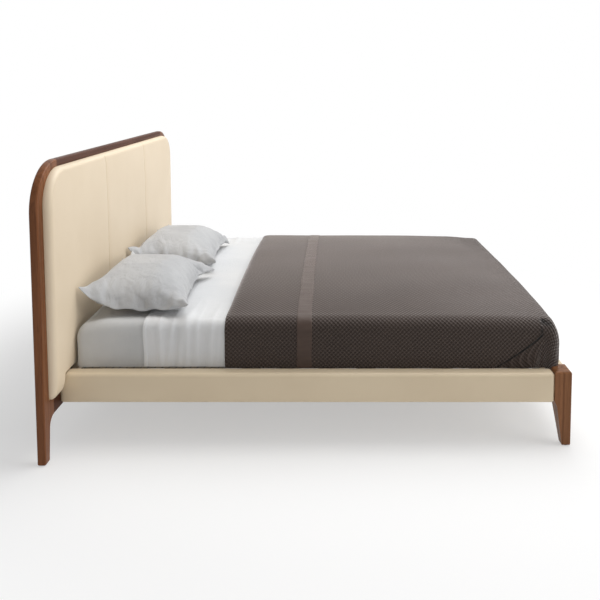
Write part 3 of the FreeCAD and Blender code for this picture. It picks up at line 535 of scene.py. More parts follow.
def model_head_pad():
    wide, low, high = PAD_HIGH.y, PAD_LOW.z, PAD_HIGH.z
    edges = [-wide, -NOTCH_OUT, -NOTCH_IN, -SEAM, SEAM, NOTCH_IN, NOTCH_OUT, wide]
    columns = spaced(-wide, wide, edges, 0.0022, 0.020, 0.10)
    rows = spaced(low, high, [low, NOTCH_TOP, high], 0.003, 0.009, 0.06)
    pad, column, row = flat_grid("head_pad", columns, rows)
    across, up = round_off(columns[column], rows[row], wide, high, PAD_CORNER)
    across, up = round_off(across, up, wide, low, PAD_FOOT_CORNER, -1)
    set_points(pad, np.full_like(up, PAD_LOW.x), across, up)
    bpy.ops.object.mode_set(mode="EDIT")
    pick(pad, lambda spot: NOTCH_IN < abs(spot.y) < NOTCH_OUT and spot.z < NOTCH_TOP)
    bpy.ops.mesh.delete(type="FACE")
    edit_all()
    extrude(0.02, 0, 0)
    edit_all()
    bpy.ops.mesh.normals_make_consistent(inside=False)
    pick(pad, lambda spot: spot.x < PAD_LOW.x + 0.001)
    bpy.ops.mesh.dissolve_limited(angle_limit=0.01)
    alone(pad)
    return pad


def pad_out_front(pad):
    """Gives the front its roll, its crown, its seams and its puckers."""
    x, y, z = points_of(pad).T
    wide, low, high = PAD_HIGH.y, PAD_LOW.z, PAD_HIGH.z
    edge = np.minimum(wide - np.abs(y), high - z)
    for radius, past_z in ((PAD_CORNER, z - (high - PAD_CORNER)), (PAD_FOOT_CORNER, (low + PAD_FOOT_CORNER) - z)):
        past_y = np.abs(y) - (wide - radius)
        edge = np.where((past_y > 0) & (past_z > 0), radius - np.hypot(past_y, past_z), edge)
    beside = np.where(np.abs(y) < (NOTCH_IN + NOTCH_OUT) / 2, NOTCH_IN - np.abs(y), np.abs(y) - NOTCH_OUT)
    notch = np.maximum(beside, z - NOTCH_TOP)
    roll = rounded_over(edge, 0.019) * rounded_over(z - low, 0.075) * rounded_over(notch, 0.010)
    crown = (1 - (np.abs(y) / wide) ** 4) * (1 - (np.abs(z - 0.7) / 0.47) ** 4)
    full = PAD_HIGH.x - PAD_LOW.x - 0.006 + 0.008 * np.clip(crown, 0, 1)
    aside = np.abs(y) - SEAM
    groove = 0.0042 * bell(aside, 0.0026) + 0.0022 * bell(aside, 0.022)
    pucker = 0.0009 * ripple(z, 0.0, 0.045, 7) * bell(aside, 0.03)
    slack = 0.0004 * ripple(y, z, 0.6, 11)
    depth = PAD_EDGE + (full - PAD_EDGE + slack + pucker - groove) * roll
    front = x > PAD_LOW.x + 0.01
    set_points(pad, np.where(front, PAD_LOW.x + depth, x), y, z)


head_pad = model_head_pad()
pad_out_front(head_pad)
smooth(head_pad, 50)
stand_in(head_pad, cream_leather, "cream_leather", "frame", "head_leather_cover", "head_cushion")
print("headboard pad faces:", len(head_pad.data.polygons))

# %% [markdown]
# ## The rail covers
# Each rail is a board in a sleeve of thin padding and leather, sewn shut along the underside.
# A block gets the rounded edges, is divided along its length, and is then padded: the sides
# swell a millimetre or two, the hide is a little uneven along the rail, and the seam draws in.

# %% Model the three rail covers
def model_rail(node, long_axis):
    """A padded sleeve in its CAD part's box, long in X (0) or Y (1), its seam below."""
    low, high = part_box(node)
    size, middle = high - low, (low + high) / 2
    sleeve = block(node.replace("_cover", "_sleeve"), low, high)
    bpy.ops.mesh.bevel(offset=0.013, segments=5, profile=0.5)
    ends = (low[long_axis] + 0.02, high[long_axis] - 0.02)
    pick(sleeve, lambda spot: ends[0] < spot[long_axis] < ends[1], "EDGE")
    bpy.ops.mesh.subdivide(number_cuts=90)
    bpy.ops.mesh.select_mode(type="FACE")
    cut_across(low, high, (0.2, 0.35, 0.5, 0.65, 0.8), (0, 0, 1))
    cut_across(low, high, (0.25, 0.47, 0.5, 0.53, 0.75), (long_axis, 1 - long_axis, 0))
    alone(sleeve)
    points = points_of(sleeve)
    place, side, rise = ((points - middle) / size * 2)[:, [long_axis, 1 - long_axis, 2]].T
    swell = 0.0016 * (1 - rise ** 2) * (1 - place ** 8)
    uneven = 0.0006 * ripple(points[:, long_axis], points[:, 2] * 3, 0.22, len(node))
    points[:, 1 - long_axis] += np.sign(side) * (np.abs(side) > 0.5) * (swell + uneven)
    points[:, 2] += 0.0012 * (1 - side ** 2) * (rise > 0.5) + 0.002 * bell(side, 0.05) * (rise < -0.9)
    set_points(sleeve, *points.T)
    smooth(sleeve, 50)
    stand_in(sleeve, rail_leather, "cream_leather", "frame", node)
    return sleeve


for node, long_axis in (("side_rail_left_cover", 0), ("side_rail_right_cover", 0), ("foot_rail_cover", 1)):
    sleeve = model_rail(node, long_axis)
    print(sleeve.name, "faces:", len(sleeve.data.polygons))

# %% [markdown]
# ## Woven cloth finishes
# Sheets and pillowcases are plain cotton: fine crossed threads, a faint bloom of loose fibres
# at a glancing view, and no shine. The threads are far finer than a fold, so they are only
# bump, and so are the pillowcases' shallow creases. The flat sheet is the whitest; the fitted
# sheet below it is a greyer copy of the same cotton, as painted shade on its shaded sides, and
# the pillowcases a little darker still. The back of the headboard has a coarser dark lining,
# and the mattress a ticking with soft stripes.

# %% Make the plain cloth finishes
def cotton(name, colour, shade, thread, flat=True, depth=0.00012, creased=0.0):
    finish = Finish(name, 0.86, Sheen_Weight=0.2, Sheen_Roughness=0.5, Specular_IOR_Level=0.2)
    place = finish.flat_map() if flat else finish.spot
    weave = finish.math("ADD", finish.waves(place, thread, "X"), finish.waves(place, thread, "Y"))
    slub = finish.noise(finish.stretched(place, (1, 0.12, 1)), 260.0, 2.0)
    soft = finish.noise(finish.spot, 5.0, 3.0, 0.5)
    crumple = finish.noise(finish.spot, 34.0, 4.0, 0.55, 0.6)
    finish.colour(finish.mix(finish.between(soft, 0.3, 0.7), shade, colour))
    finish.roughness(finish.between(slub, 0.3, 0.7, 0.8, 0.92))
    heights = [(weave, depth), (slub, depth), (crumple, 0.0012)]
    if creased:
        drawn = finish.stretched(finish.spot, (1, 0.8, 0.5))
        heights.append((finish.noise(drawn, 15.0, 3.0, 0.5, 1.0), creased))
    finish.bump(*heights)
    return finish


sheet_cotton = cotton("sheet_cotton", (0.73, 0.735, 0.74), (0.68, 0.69, 0.70), 0.0009)
# Painted shade: the fitted sheet is the sheet cotton painted greyer.
fitted_cotton = cotton("fitted_cotton", (0.575, 0.58, 0.58), (0.52, 0.53, 0.535), 0.0009)
pillow_cotton = cotton("pillow_cotton", (0.51, 0.515, 0.52), (0.43, 0.435, 0.445), 0.0009, flat=False,
                       creased=0.007)
lining = cotton("back_lining", (0.055, 0.048, 0.042), (0.04, 0.035, 0.031), 0.0016, depth=0.0003)


def ticking(name):
    finish = Finish(name, 0.8, Sheen_Weight=0.2)
    place = finish.flat_map()
    stripe = finish.waves(place, 0.03, "X")
    weave = finish.math("ADD", finish.waves(place, 0.0012, "X"), finish.waves(place, 0.0012, "Y"))
    finish.colour(finish.mix(finish.between(stripe, 0.86, 0.92), (0.72, 0.71, 0.67), (0.48, 0.50, 0.53)))
    finish.roughness(finish.between(weave, 0.4, 1.6, 0.74, 0.86))
    finish.bump((weave, 0.00015))
    return finish


mattress_ticking = ticking("mattress_ticking")
print("cloth finishes ready")

# %% [markdown]
# ## Cloth laid over the bed
# The sheets and the coverlet are the same kind of shape. Each is a flat cloth on top that
# rolls over the edges and hangs down the sides and the foot. One flat grid is the top, its
# edges are extruded down step by step for the part that hangs, and each vertex is then laid
# where that part of the cloth ends up. The flat map keeps where each vertex was before the
# cloth was laid, so that a weave or quilting runs round the edges as it does in real cloth.

# %% A helper that lays a cloth
def lay_cloth(name, columns, rows, steps, sides, shape, thick, corner=0.03):
    """Cuts a flat cloth, extrudes what hangs, and lays it.

    shape(x, y, out_x, out_y, step) gives the laid points and their two places in the flat cloth."""
    cloth, column, row = flat_grid(name, columns, rows)
    set_points(cloth, column.astype(float), row.astype(float), np.zeros(len(row)))
    last_column, last_row = len(columns) - 1, len(rows) - 1
    bpy.ops.object.mode_set(mode="EDIT")
    hanging = {"left": lambda spot: spot.y < 0.01, "right": lambda spot: spot.y > last_row - 0.01,
               "head": lambda spot: spot.x < 0.01, "foot": lambda spot: spot.x > last_column - 0.01}
    pick(cloth, lambda spot: any(hanging[side](spot) for side in sides), "EDGE")
    for _ in range(steps):
        extrude(0, 0, -1)
    alone(cloth)
    index = np.rint(points_of(cloth)).astype(int)
    x, y, step = columns[index[:, 0]], rows[index[:, 1]], -index[:, 2]
    inner_x = np.minimum(x, columns[-1] - corner) if "foot" in sides else x
    inner_x = np.maximum(inner_x, columns[0] + corner) if "head" in sides else inner_x
    inner_y = np.sign(y) * np.minimum(np.abs(y), rows[-1] - corner)
    bent_x, bent_y = in_corner(np.abs(x - inner_x), np.abs(y - inner_y), corner)
    beside = (x != inner_x) & (y != inner_y)
    x = np.where(beside, inner_x + np.sign(x - inner_x) * bent_x, x)
    y = np.where(beside, inner_y + np.sign(y - inner_y) * bent_y, y)
    reach = np.maximum(np.hypot(x - inner_x, y - inner_y), 1e-9)
    out_x, out_y = (x - inner_x) / reach, (y - inner_y) / reach
    laid, flat_x, flat_y = shape(x, y, out_x, out_y, step)
    set_points(cloth, *laid)
    write_flat_map(cloth, flat_x, flat_y)
    edit_all()
    bpy.ops.mesh.normals_make_consistent(inside=False)
    alone(cloth)
    top = max(cloth.data.polygons, key=lambda face: face.center.z)
    if top.normal.z < 0:
        cloth.data.flip_normals()
    finish_with(cloth, "SOLIDIFY", thickness=thick, offset=-1.0, use_even_offset=False)
    smooth(cloth, 80)
    return cloth


def write_flat_map(piece, across, along):
    """Stores each vertex's flat place, in metres, as the piece's own map."""
    layer = piece.data.uv_layers.active
    layer.name = "flat"
    corners = np.empty(len(piece.data.loops), int)
    piece.data.loops.foreach_get("vertex_index", corners)
    layer.data.foreach_set("uv", np.stack([across[corners], along[corners]], axis=1).ravel())


def hang(step, roll_steps, steps, roll_out, roll_down, drop, power=1.0):
    """How far out and down a hanging step is, and how much cloth that took."""
    turn = np.clip(step / roll_steps, 0, 1) * math.pi / 2
    fall = np.clip((step - roll_steps) / (steps - roll_steps), 0, 1)
    out, down = roll_out * np.sin(turn) ** power, roll_down * (1 - np.cos(turn))
    hung = turn * (roll_out + roll_down) / 2 + fall * drop
    return out, down + fall * drop, hung, fall


# %% [markdown]
# ## The mattress
# Under the sheets is a sprung mattress in striped ticking, with a piped tape edge round its
# top and bottom. Most of it is hidden, but it shows when the bedding is lifted.

# %% Model the mattress and its piping
MATTRESS_LOW, MATTRESS_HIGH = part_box("mattress")


def model_mattress():
    low, high = MATTRESS_LOW, MATTRESS_HIGH
    size, middle = high - low, (low + high) / 2
    mattress = block("mattress_body", low, high)
    pick(mattress, lambda spot: abs(spot.z - middle.z) < 0.01, "EDGE")
    bpy.ops.mesh.bevel(offset=0.06, segments=6)
    pick(mattress, lambda spot: spot.z > high.z - 0.001 or spot.z < low.z + 0.001)
    for inset in (0.004, 0.008, 0.012, 0.016, 0.08):
        bpy.ops.mesh.inset(thickness=inset, use_even_offset=True)
    cut_across(low, high, (0.06, 0.2, 0.35, 0.5, 0.65, 0.8, 0.94), (0, 0, 1))
    cut_across(low, high, np.linspace(0.1, 0.9, 17), (1, 0, 0), (0, 1, 0))
    alone(mattress)
    x, y, z = points_of(mattress).T
    rise = (z - middle.z) / size.z * 2
    edge = np.minimum(size.x / 2 - np.abs(x - middle.x), size.y / 2 - np.abs(y))
    flat_face = np.abs(rise) > 0.99
    roll = np.where((x - low.x < 0.07) & (rise > 0), 0.066, 0.040)
    head_sink = 0.014 * (1 - eased((x - low.x - 0.05) / 0.09)) * (rise > 0)
    sink = np.where(flat_face, 0.8 * roll * (1 - rounded_over(edge, roll)) + 0.005 + head_sink, 0.0)
    z = np.where(flat_face, z - np.sign(rise) * sink, middle.z + 0.5 * (z - middle.z))
    pull, border = 0.004, 0.07
    out_x = np.sign(x - middle.x) * (np.abs(x - middle.x) > size.x / 2 - border)
    out_y = np.sign(y) * (np.abs(y) > size.y / 2 - border)
    set_points(mattress, x - out_x * pull, y - out_y * pull, z)
    write_flat_map(mattress, x + y, z + y)
    smooth(mattress, 40)
    return mattress


def model_piping(name, height, radius):
    """A corded tape that runs round the mattress."""
    low, high = MATTRESS_LOW, MATTRESS_HIGH
    alone()
    bpy.ops.mesh.primitive_plane_add(size=1, location=((low.x + high.x) / 2, 0, height))
    cord = bpy.context.object
    cord.name = cord.data.name = name
    cord.scale = (high.x - low.x - 0.015, high.y - low.y - 0.015, 1)
    bpy.ops.object.transform_apply(location=True, rotation=True, scale=True)
    edit_all()
    bpy.ops.mesh.bevel(offset=0.056, segments=8, affect="VERTICES")
    bpy.ops.mesh.delete(type="ONLY_FACE")
    alone(cord)
    bpy.ops.object.convert(target="CURVE")
    cord = bpy.context.object
    cord.data.bevel_depth = radius
    cord.data.bevel_resolution = 3
    bpy.ops.object.convert(target="MESH")
    cord = bpy.context.object
    smooth(cord, 60)
    return cord


mattress = model_mattress()
stand_in(mattress, mattress_ticking, "mattress_ticking", "mattress", "mattress")
piping_cotton = cotton("piping_cotton", (0.46, 0.48, 0.50), (0.40, 0.42, 0.44), 0.0011, flat=False)
for end, height in (("low", MATTRESS_LOW.z + 0.036), ("high", MATTRESS_HIGH.z - 0.060)):
    piping = model_piping(f"mattress_piping_{end}", height, 0.005)
    stand_in(piping, piping_cotton, "mattress_ticking", "mattress")
print("mattress size:", [round(v, 3) for v in MATTRESS_HIGH - MATTRESS_LOW])

# %% [markdown]
# ## The fitted sheet
# The fitted sheet is pulled over the mattress and hangs on all four sides. It is nearly
# smooth, with a few shallow folds where the pillows and the corners pull on it.

# %% Lay the fitted sheet
FITTED_LOW, FITTED_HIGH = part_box("fitted_sheet")
SHEET_ROUND, SHEET_CORNER, SHEET_SQUARE, SHEET_THICK = 0.04, 0.012, 0.30, 0.0008
SHEET_ROLL, FITTED_STEPS, FLAT_STEPS = 6, 16, 18
UNDER_FOLD = 0.85  # from here to the foot, the coverlet's folded corner presses the sheets in


def fitted_shape(x, y, out_x, out_y, step):
    head = np.clip(-out_x, 0, 1)
    roll_down = SHEET_ROUND + 0.03 * head
    out, down, hung, fall = hang(step, SHEET_ROLL, FITTED_STEPS, SHEET_ROUND, roll_down,
                                 FITTED_HIGH.z - roll_down - FITTED_LOW.z)
    slack = 0.0012 * ripple(x, y, 0.30, 3) * (step == 0)
    drawn = 0.0016 * ripple(x + y, FITTED_HIGH.z - down, 0.09, 5) * fall
    sag = 0.004 * fall * (1 - fall)
    dip = 0.012 * (1 - eased((x - FITTED_LOW.x - 0.04) / 0.08))
    far = out * squarer(out_x, out_y, SHEET_SQUARE) + np.minimum(drawn - sag, 0.0008) - 0.0012
    far = far - 0.0035 * head - 0.010 * eased((x - UNDER_FOLD) / 0.08) * np.abs(out_y)
    height = np.maximum(FITTED_HIGH.z - down - dip, FITTED_LOW.z) + slack - 0.0026
    return (x + out_x * far, y + out_y * far, height), x + out_x * hung, y + out_y * hung


def sheet_lines(low, high):
    low, high = low + SHEET_ROUND, high - SHEET_ROUND
    return spaced(low, high, [low, high], 0.003, 0.022, 0.1)


fitted_sheet = lay_cloth(
    "bottom_sheet", sheet_lines(FITTED_LOW.x, FITTED_HIGH.x), sheet_lines(FITTED_LOW.y, FITTED_HIGH.y),
    FITTED_STEPS, ("left", "right", "head", "foot"), fitted_shape, SHEET_THICK, SHEET_CORNER)
stand_in(fitted_sheet, fitted_cotton, "sheet_cotton", "mattress", "fitted_sheet")

# %% [markdown]
# ## The flat sheet
# The flat sheet starts with a turned hem below the pillows. It is looser than the fitted one:
# between the hem and the coverlet it hangs in soft upright folds, some deep and some hardly
# there. The folds are ridges at seeded places, fading out on top of the bed.

# %% Lay the flat sheet
FLAT_LOW, FLAT_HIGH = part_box("flat_sheet")
HEM = 0.014


def upright_folds(x, height, seed):
    """Soft ridges down the side of the bed, from about -1 to 1."""
    chance = np.random.RandomState(seed)
    total = np.zeros_like(x)
    place = FLAT_LOW.x + 0.07
    while place < FLAT_LOW.x + 0.46:
        width, depth = chance.uniform(0.007, 0.016), chance.uniform(0.4, 1.0) * chance.choice([-1, 1, 1])
        lean = chance.uniform(-0.10, 0.14)
        total += depth * bell(x - place - lean * (height - 0.4), width)
        place += chance.uniform(0.018, 0.042)
    return total


def flat_shape(x, y, out_x, out_y, step):
    drop = FLAT_HIGH.z - SHEET_ROUND - FLAT_LOW.z
    out, down, hung, fall = hang(step, SHEET_ROLL, FLAT_STEPS, SHEET_ROUND, SHEET_ROUND, drop)
    height = FLAT_HIGH.z - down
    on_side = np.abs(out_y) * eased(step / 8)
    ridges = upright_folds(x, height, 18)
    hem = 0.0016 * (x < FLAT_LOW.x + HEM)
    waver = 0.006 * ripple(height, y, 0.25, 9) * (x < FLAT_LOW.x + 0.06)
    # How far out the side hangs: with its folds and hem, and pressed in below the coverlet.
    folds = ridges * on_side * (0.55 + 0.45 * (1 - fall)) * (1 - 0.6 * eased((x + 0.40) / 0.05))
    far = out * squarer(out_x, out_y, SHEET_SQUARE) + np.clip(0.0070 * folds, -0.0015, 0.010)
    far = far + (hem - 0.0048 * fall * (1 - fall)) * on_side
    far = far - np.clip(out_x, 0, 1) * (0.003 + 0.003 * eased(step / SHEET_ROLL))
    far = far - 0.011 * eased((x - UNDER_FOLD) / 0.08) * np.abs(out_y)
    # How the top rises: it is uneven, the folds begin near its edge, and the hem is thicker.
    near_edge = np.clip((np.abs(y) - 0.4) / 0.36, 0, 1)
    top = (0.0022 * ripple(x * 1.4, y, 0.16, 23) * near_edge + 0.002 * ripple(x, y, 0.4, 29)) * (step == 0)
    begun = eased((np.abs(y) - 0.5) / 0.24) * (step < 8) * (1 - on_side)
    top = top + 0.0045 * np.clip(ridges, -0.1, 2) * begun
    lift = hem * (step < SHEET_ROLL) + top * eased((x - FLAT_LOW.x) / 0.06) * (x < -0.3)
    lift = lift - 0.009 * eased((x - UNDER_FOLD) / 0.1) * (step < 9) * (np.abs(y) > 0.6)
    return (x + waver + out_x * far, y + out_y * far, height + lift), x + out_x * hung, y + out_y * hung


flat_end = FLAT_HIGH.x - SHEET_ROUND
FLAT_COLUMNS = spaced(FLAT_LOW.x, flat_end, [FLAT_LOW.x, FLAT_LOW.x + HEM, flat_end], 0.002, 0.03, 0.12)
FLAT_COLUMNS = np.unique(np.round(np.concatenate([FLAT_COLUMNS, np.arange(FLAT_LOW.x + 0.03, -0.34, 0.006)]), 5))
flat_sheet = lay_cloth("top_sheet", FLAT_COLUMNS, sheet_lines(FLAT_LOW.y, FLAT_HIGH.y), FLAT_STEPS,
                       ("left", "right", "foot"), flat_shape, SHEET_THICK, SHEET_CORNER)
stand_in(flat_sheet, sheet_cotton, "sheet_cotton", "mattress", "flat_sheet")
print("flat sheet faces:", len(flat_sheet.data.polygons))

# %% [markdown]
# ## Quilted and satin finishes
# The coverlet is dark brown cotton, machine quilted in small diamonds. The stitched lines
# catch the light, the cells between them are slightly puffed, and the fibres make the cloth
# look paler at a glancing view. On top of the bed the quilting is pulled flat and nearly
# disappears. The crease of the fold is painted dark, as painted shade: its place comes from an
# attribute of the cloth. The band is the same colour in smooth satin weave.

# %% Make the quilted and satin finishes
def quilted(name, cell, line, pitch, fading):
    """Quilting at a pitch, with a colour for cells and lines, fading between two heights."""
    finish = Finish(name, 0.72, Sheen_Weight=0.7, Sheen_Roughness=0.42, Sheen_Tint=(0.86, 0.80, 0.78, 1),
                    Specular_IOR_Level=0.2)
    place = finish.flat_map(45)
    first, second = finish.waves(place, pitch, "X"), finish.waves(place, pitch, "Y")
    ridge = finish.math("MAXIMUM", first, second)
    crossing = finish.math("MULTIPLY", first, second)
    thread = finish.noise(finish.flat_map(), 900.0, 2.0)
    slow = finish.noise(finish.spot, 4.0, 3.0)
    height = finish.add("ShaderNodeSeparateXYZ", {0: finish.spot}).outputs["Z"]
    plain = finish.between(height, *fading, 1.0, 0.22)
    cells = finish.mix(finish.between(slow, 0.3, 0.7), cell, tuple(0.8 * c for c in cell))
    cells = finish.mix(finish.between(height, *fading, 0.0, 0.28), cells, line)
    stitched = finish.math("MULTIPLY", finish.between(ridge, 0.80, 0.97, 0.0, 0.75), plain)
    crossed = finish.math("MULTIPLY", finish.between(crossing, 0.6, 0.95, 0.0, 0.7), plain)
    lined = finish.mix(crossed, finish.mix(stitched, cells, line), tuple(1.25 * c for c in line))
    # Painted shade: the fold's crease, the notch and the pocket are painted nearly black.
    deep = finish.add("ShaderNodeAttribute", attribute_name="crease_shade").outputs["Fac"]
    finish.colour(finish.mix(deep, lined, tuple(0.02 * c for c in cell)))
    finish.roughness(finish.between(thread, 0.3, 0.7, 0.62, 0.8))
    puffed = finish.math("MULTIPLY", finish.math("ADD", first, second), plain)
    finish.bump((puffed, 0.0022), (thread, 0.0002))
    return finish


def satin(name, colour):
    finish = Finish(name, 0.5, Sheen_Weight=0.6, Sheen_Roughness=0.35, Sheen_Tint=(0.9, 0.84, 0.82, 1),
                    Specular_IOR_Level=0.3)
    ribs = finish.waves(finish.flat_map(), 0.0022, "Y")
    slow = finish.noise(finish.stretched(finish.flat_map(), (1, 6, 1)), 9.0, 3.0)
    finish.colour(finish.mix(finish.between(slow, 0.3, 0.7), colour, tuple(0.85 * c for c in colour)))
    finish.roughness(finish.between(slow, 0.3, 0.7, 0.44, 0.56))
    finish.bump((ribs, 0.00015))
    return finish


coverlet_quilt = quilted("coverlet_quilt", (0.030, 0.019, 0.014), (0.074, 0.055, 0.047), 0.0127, (0.495, 0.530))
band_satin = satin("band_satin", (0.058, 0.034, 0.024))
print("coverlet finishes ready")

# %% [markdown]
# ## The coverlet
# The coverlet lies over the lower two thirds of the bed. Bedding below it makes the middle
# swell, it rolls over the sides, and at the foot it bulges over the rail before it is tucked
# in. At each foot corner the spare cloth is folded like a parcel, so a slanting edge runs from
# the corner down to the rail. Columns of the grid are gathered along that slant. In front of
# it the cloth stands up as a lip, and behind it drops into a narrow groove and comes out again.

# %% Lay the coverlet
COVER_LOW, COVER_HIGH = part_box("coverlet")
COVER_SIDE, COVER_END, COVER_ROUND, COVER_CORNER = 0.06, 0.058, 0.055, 0.012
COVER_STEPS, COVER_ROLL = 22, 8
FOLD_TOP, FOLD_LOW, FOLD_BACK = 0.962, 0.765, COVER_HIGH.x - COVER_END - COVER_CORNER
FOLD_GROOVE = 0.0156  # where the groove is, as a share of the way from the fold to the corner
cover_side, cover_foot = COVER_HIGH.y - COVER_SIDE, COVER_HIGH.x - COVER_END
COVER_ROWS = spaced(-cover_side, cover_side, [-cover_side, cover_side], 0.007, 0.026, 0.1)
COVER_COLUMNS = np.unique(np.round(np.concatenate([
    spaced(COVER_LOW.x, FOLD_TOP - 0.02, [COVER_LOW.x, FOLD_TOP - 0.02], 0.006, 0.026, 0.12),
    np.arange(FOLD_TOP - 0.014, FOLD_TOP + 0.001, 0.0035),
    FOLD_TOP + (FOLD_BACK - FOLD_TOP) * np.linspace(0, 1, 17) ** 1.5,
    np.arange(FOLD_BACK + 0.003, cover_foot - 0.001, 0.003), [cover_foot]]), 5))


def cover_top(x, y):
    """Height of the coverlet's top: highest in the middle, lower at the sides and the foot."""
    level = eased((x - 0.35) / 0.6)
    crown = COVER_HIGH.z - 0.061 * np.clip(np.abs(y) / 0.8, 0, 1) ** 2.5
    crown = crown - 0.75 * level * (crown - (COVER_HIGH.z - 0.061))
    droop = (0.004 + 0.010 * eased((y + 0.4) / 0.8)) * eased((x - 0.78) / 0.22) ** 1.3
    return crown - droop + 0.0016 * ripple(x, y, 0.5, 41)


def cover_sway(x, down, fall, step):
    """How far the side stands out from where it would hang straight."""
    return 0.0016 * ripple(x, down, 0.35, 43) * fall - 0.0012 * (step > COVER_ROLL)


cover_crease_shade = {}


def cover_shape(x, y, out_x, out_y, step):
    foot = np.clip(out_x, 0, 1) ** 1.5
    roll_out, roll_down = COVER_SIDE + (COVER_END - COVER_SIDE) * foot, COVER_ROUND + 0.080 * foot
    top = cover_top(x, y)
    edge = np.clip((x - COVER_LOW.x) / 0.045, 0, 1)
    start = top - 0.92 * (1 - rounded_over(edge, 1)) * (top - FLAT_HIGH.z - 0.008)
    out, down, hung, fall = hang(step, COVER_ROLL, COVER_STEPS, roll_out, roll_down,
                                 start - roll_down - COVER_LOW.z, 1 - 0.42 * foot)
    cheek, side = (np.abs(out_y) > 0.75) & (step > 0), (np.abs(out_y) > 0.99) & (step > 0)
    # The sides' columns are gathered towards the slanting line of the fold.
    line = FOLD_TOP + (FOLD_LOW - FOLD_TOP) * fall ** 1.25
    after = np.clip((x - FOLD_TOP) / (FOLD_BACK - FOLD_TOP), 0, 1)
    gathered = x - (FOLD_TOP - line) * eased((x - 0.55) / (FOLD_TOP - 0.55)) * (1 - after)
    moved = np.where(side, gathered, x)
    # The lip in front of the line, the groove behind it, and the dent where the fold begins.
    behind, past = side & (x > FOLD_TOP + 1e-5), moved - line
    slant = eased(step / COVER_ROLL) * (0.15 + 0.85 * fall)
    lip = 0.0045 * bell(np.minimum(past, 0), 0.014) * (1 - behind)
    lip = lip - behind * (0.0012 + 0.0105 * bell(after - FOLD_GROOVE, 0.014))
    back_fold = 0.009 * bell(after - FOLD_GROOVE, 0.03) * slant * behind
    notch = 0.014 * bell(x - FOLD_TOP - 0.010, 0.006) * bell(step - 3.6, 1.2) * cheek
    # Painted shade: how dark each part of the fold is painted, where shade falls in the groove behind the lip, in
    # the notch's mouth and in the pocket.
    mouth_shade = bell(x - FOLD_TOP - 0.010, 0.012) * bell(step - 3.6, 1.5) * cheek
    pocket_shade = bell(x - FOLD_TOP - 0.002, 0.006) * bell(step - 7, 1.4) * cheek
    shadow = np.where(behind, 1 - eased((past - 0.010) / 0.009), 0.5 * bell(past, 0.002))
    cover_crease_shade["fold"] = np.maximum.reduce([shadow * side * (step > COVER_ROLL), mouth_shade, pocket_shade])
    # How far out it all lies: tucked in at the foot, swaying at the sides.
    far = out * squarer(out_x, out_y, 0.40) + cover_sway(x, down, fall, step) * (1 - foot)
    far = far - foot * (0.001 + 0.008 * eased((fall - 0.65) / 0.35)) - 0.004 * (1 - edge) ** 2 * (step > 0)
    far = far + np.where(side, lip * np.maximum(slant, 0.6 * (step > 7)), 0.0) - notch
    # The flat map: behind the fold, one way of the quilting is drawn closer together.
    flap = behind * (1 - eased((after - 0.75) / 0.2)) * fall
    flat_x, flat_y = moved + out_x * hung, np.abs(y) + np.abs(out_y) * hung
    rising, falling, on_fold = flat_x + flat_y, flat_x - flat_y, line + flat_y
    rising = on_fold + (rising - on_fold) * (1 - 0.6 * flap)
    laid = (moved - back_fold + out_x * far, y + out_y * far, np.maximum(start - down, COVER_LOW.z))
    return laid, (rising + falling) / 2, np.sign(y) * (rising - falling) / 2


coverlet = lay_cloth("quilted_coverlet", COVER_COLUMNS, COVER_ROWS, COVER_STEPS, ("left", "right", "foot"),
                     cover_shape, 0.005, COVER_CORNER)
# The fold's painted shade goes into an attribute that the quilted finish reads.
crease_shade = coverlet.data.attributes.new("crease_shade", "FLOAT", "POINT")
crease_shade.data.foreach_set("value", np.resize(cover_crease_shade["fold"].astype(float), len(coverlet.data.vertices)))
stand_in(coverlet, coverlet_quilt, "coverlet_quilt", "coverlet", "coverlet")
print("coverlet faces:", len(coverlet.data.polygons))

# %% [markdown]
# ## The band
# A strip of satin runs across the coverlet and down both sides. It is laid like the coverlet,
# a little higher, with edges that turn under and waver slightly where it was sewn by hand.

# %% Lay the band
BAND_LOW, BAND_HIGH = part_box("coverlet_band")


def band_shape(x, y, out_x, out_y, step):
    top = cover_top(x, y)
    out, down, hung, fall = hang(step, COVER_ROLL, COVER_STEPS, COVER_SIDE, COVER_ROUND,
                                 top - COVER_ROUND - COVER_LOW.z)
    share, along = (x - BAND_LOW.x) / (BAND_HIGH.x - BAND_LOW.x), np.abs(y) + down
    lift = 0.0026 * rounded_over(np.minimum(share, 1 - share), 0.08) - 0.0004
    waver = 0.0016 * (ripple(along, y * 0.1, 0.12, 53) * (share > 0.5) + ripple(along, y * 0.1, 0.3, 59))
    turn = np.clip(step / COVER_ROLL, 0, 1) * math.pi / 2
    far = out + cover_sway(x, down, fall, step) + lift * np.sin(turn)
    height = np.maximum(top - down, COVER_LOW.z) + lift * np.cos(turn)
    return (x + waver, y + out_y * far, height), x, y + out_y * hung


band = lay_cloth("satin_band", spaced(BAND_LOW.x, BAND_HIGH.x, [BAND_LOW.x, BAND_HIGH.x], 0.0012, 0.007, 0.02),
                 COVER_ROWS, COVER_STEPS, ("left", "right"), band_shape, 0.0012)
stand_in(band, band_satin, "coverlet_satin", "coverlet", "coverlet_band")

# %% [markdown]
# ## The pillows
# A pillow is two flat cloths sewn round their edge and filled. Blowing such a bag up pulls its
# edges in and leaves four pointed corners, with small gathers that no one could place by hand,
# so this is a job for a cloth simulation. A full bag is far too round, so it is let down again
# to a pillow's height. The points are kept as shares of the pillow's size, from -1 to 1, and
# the next step lays them on the bed.

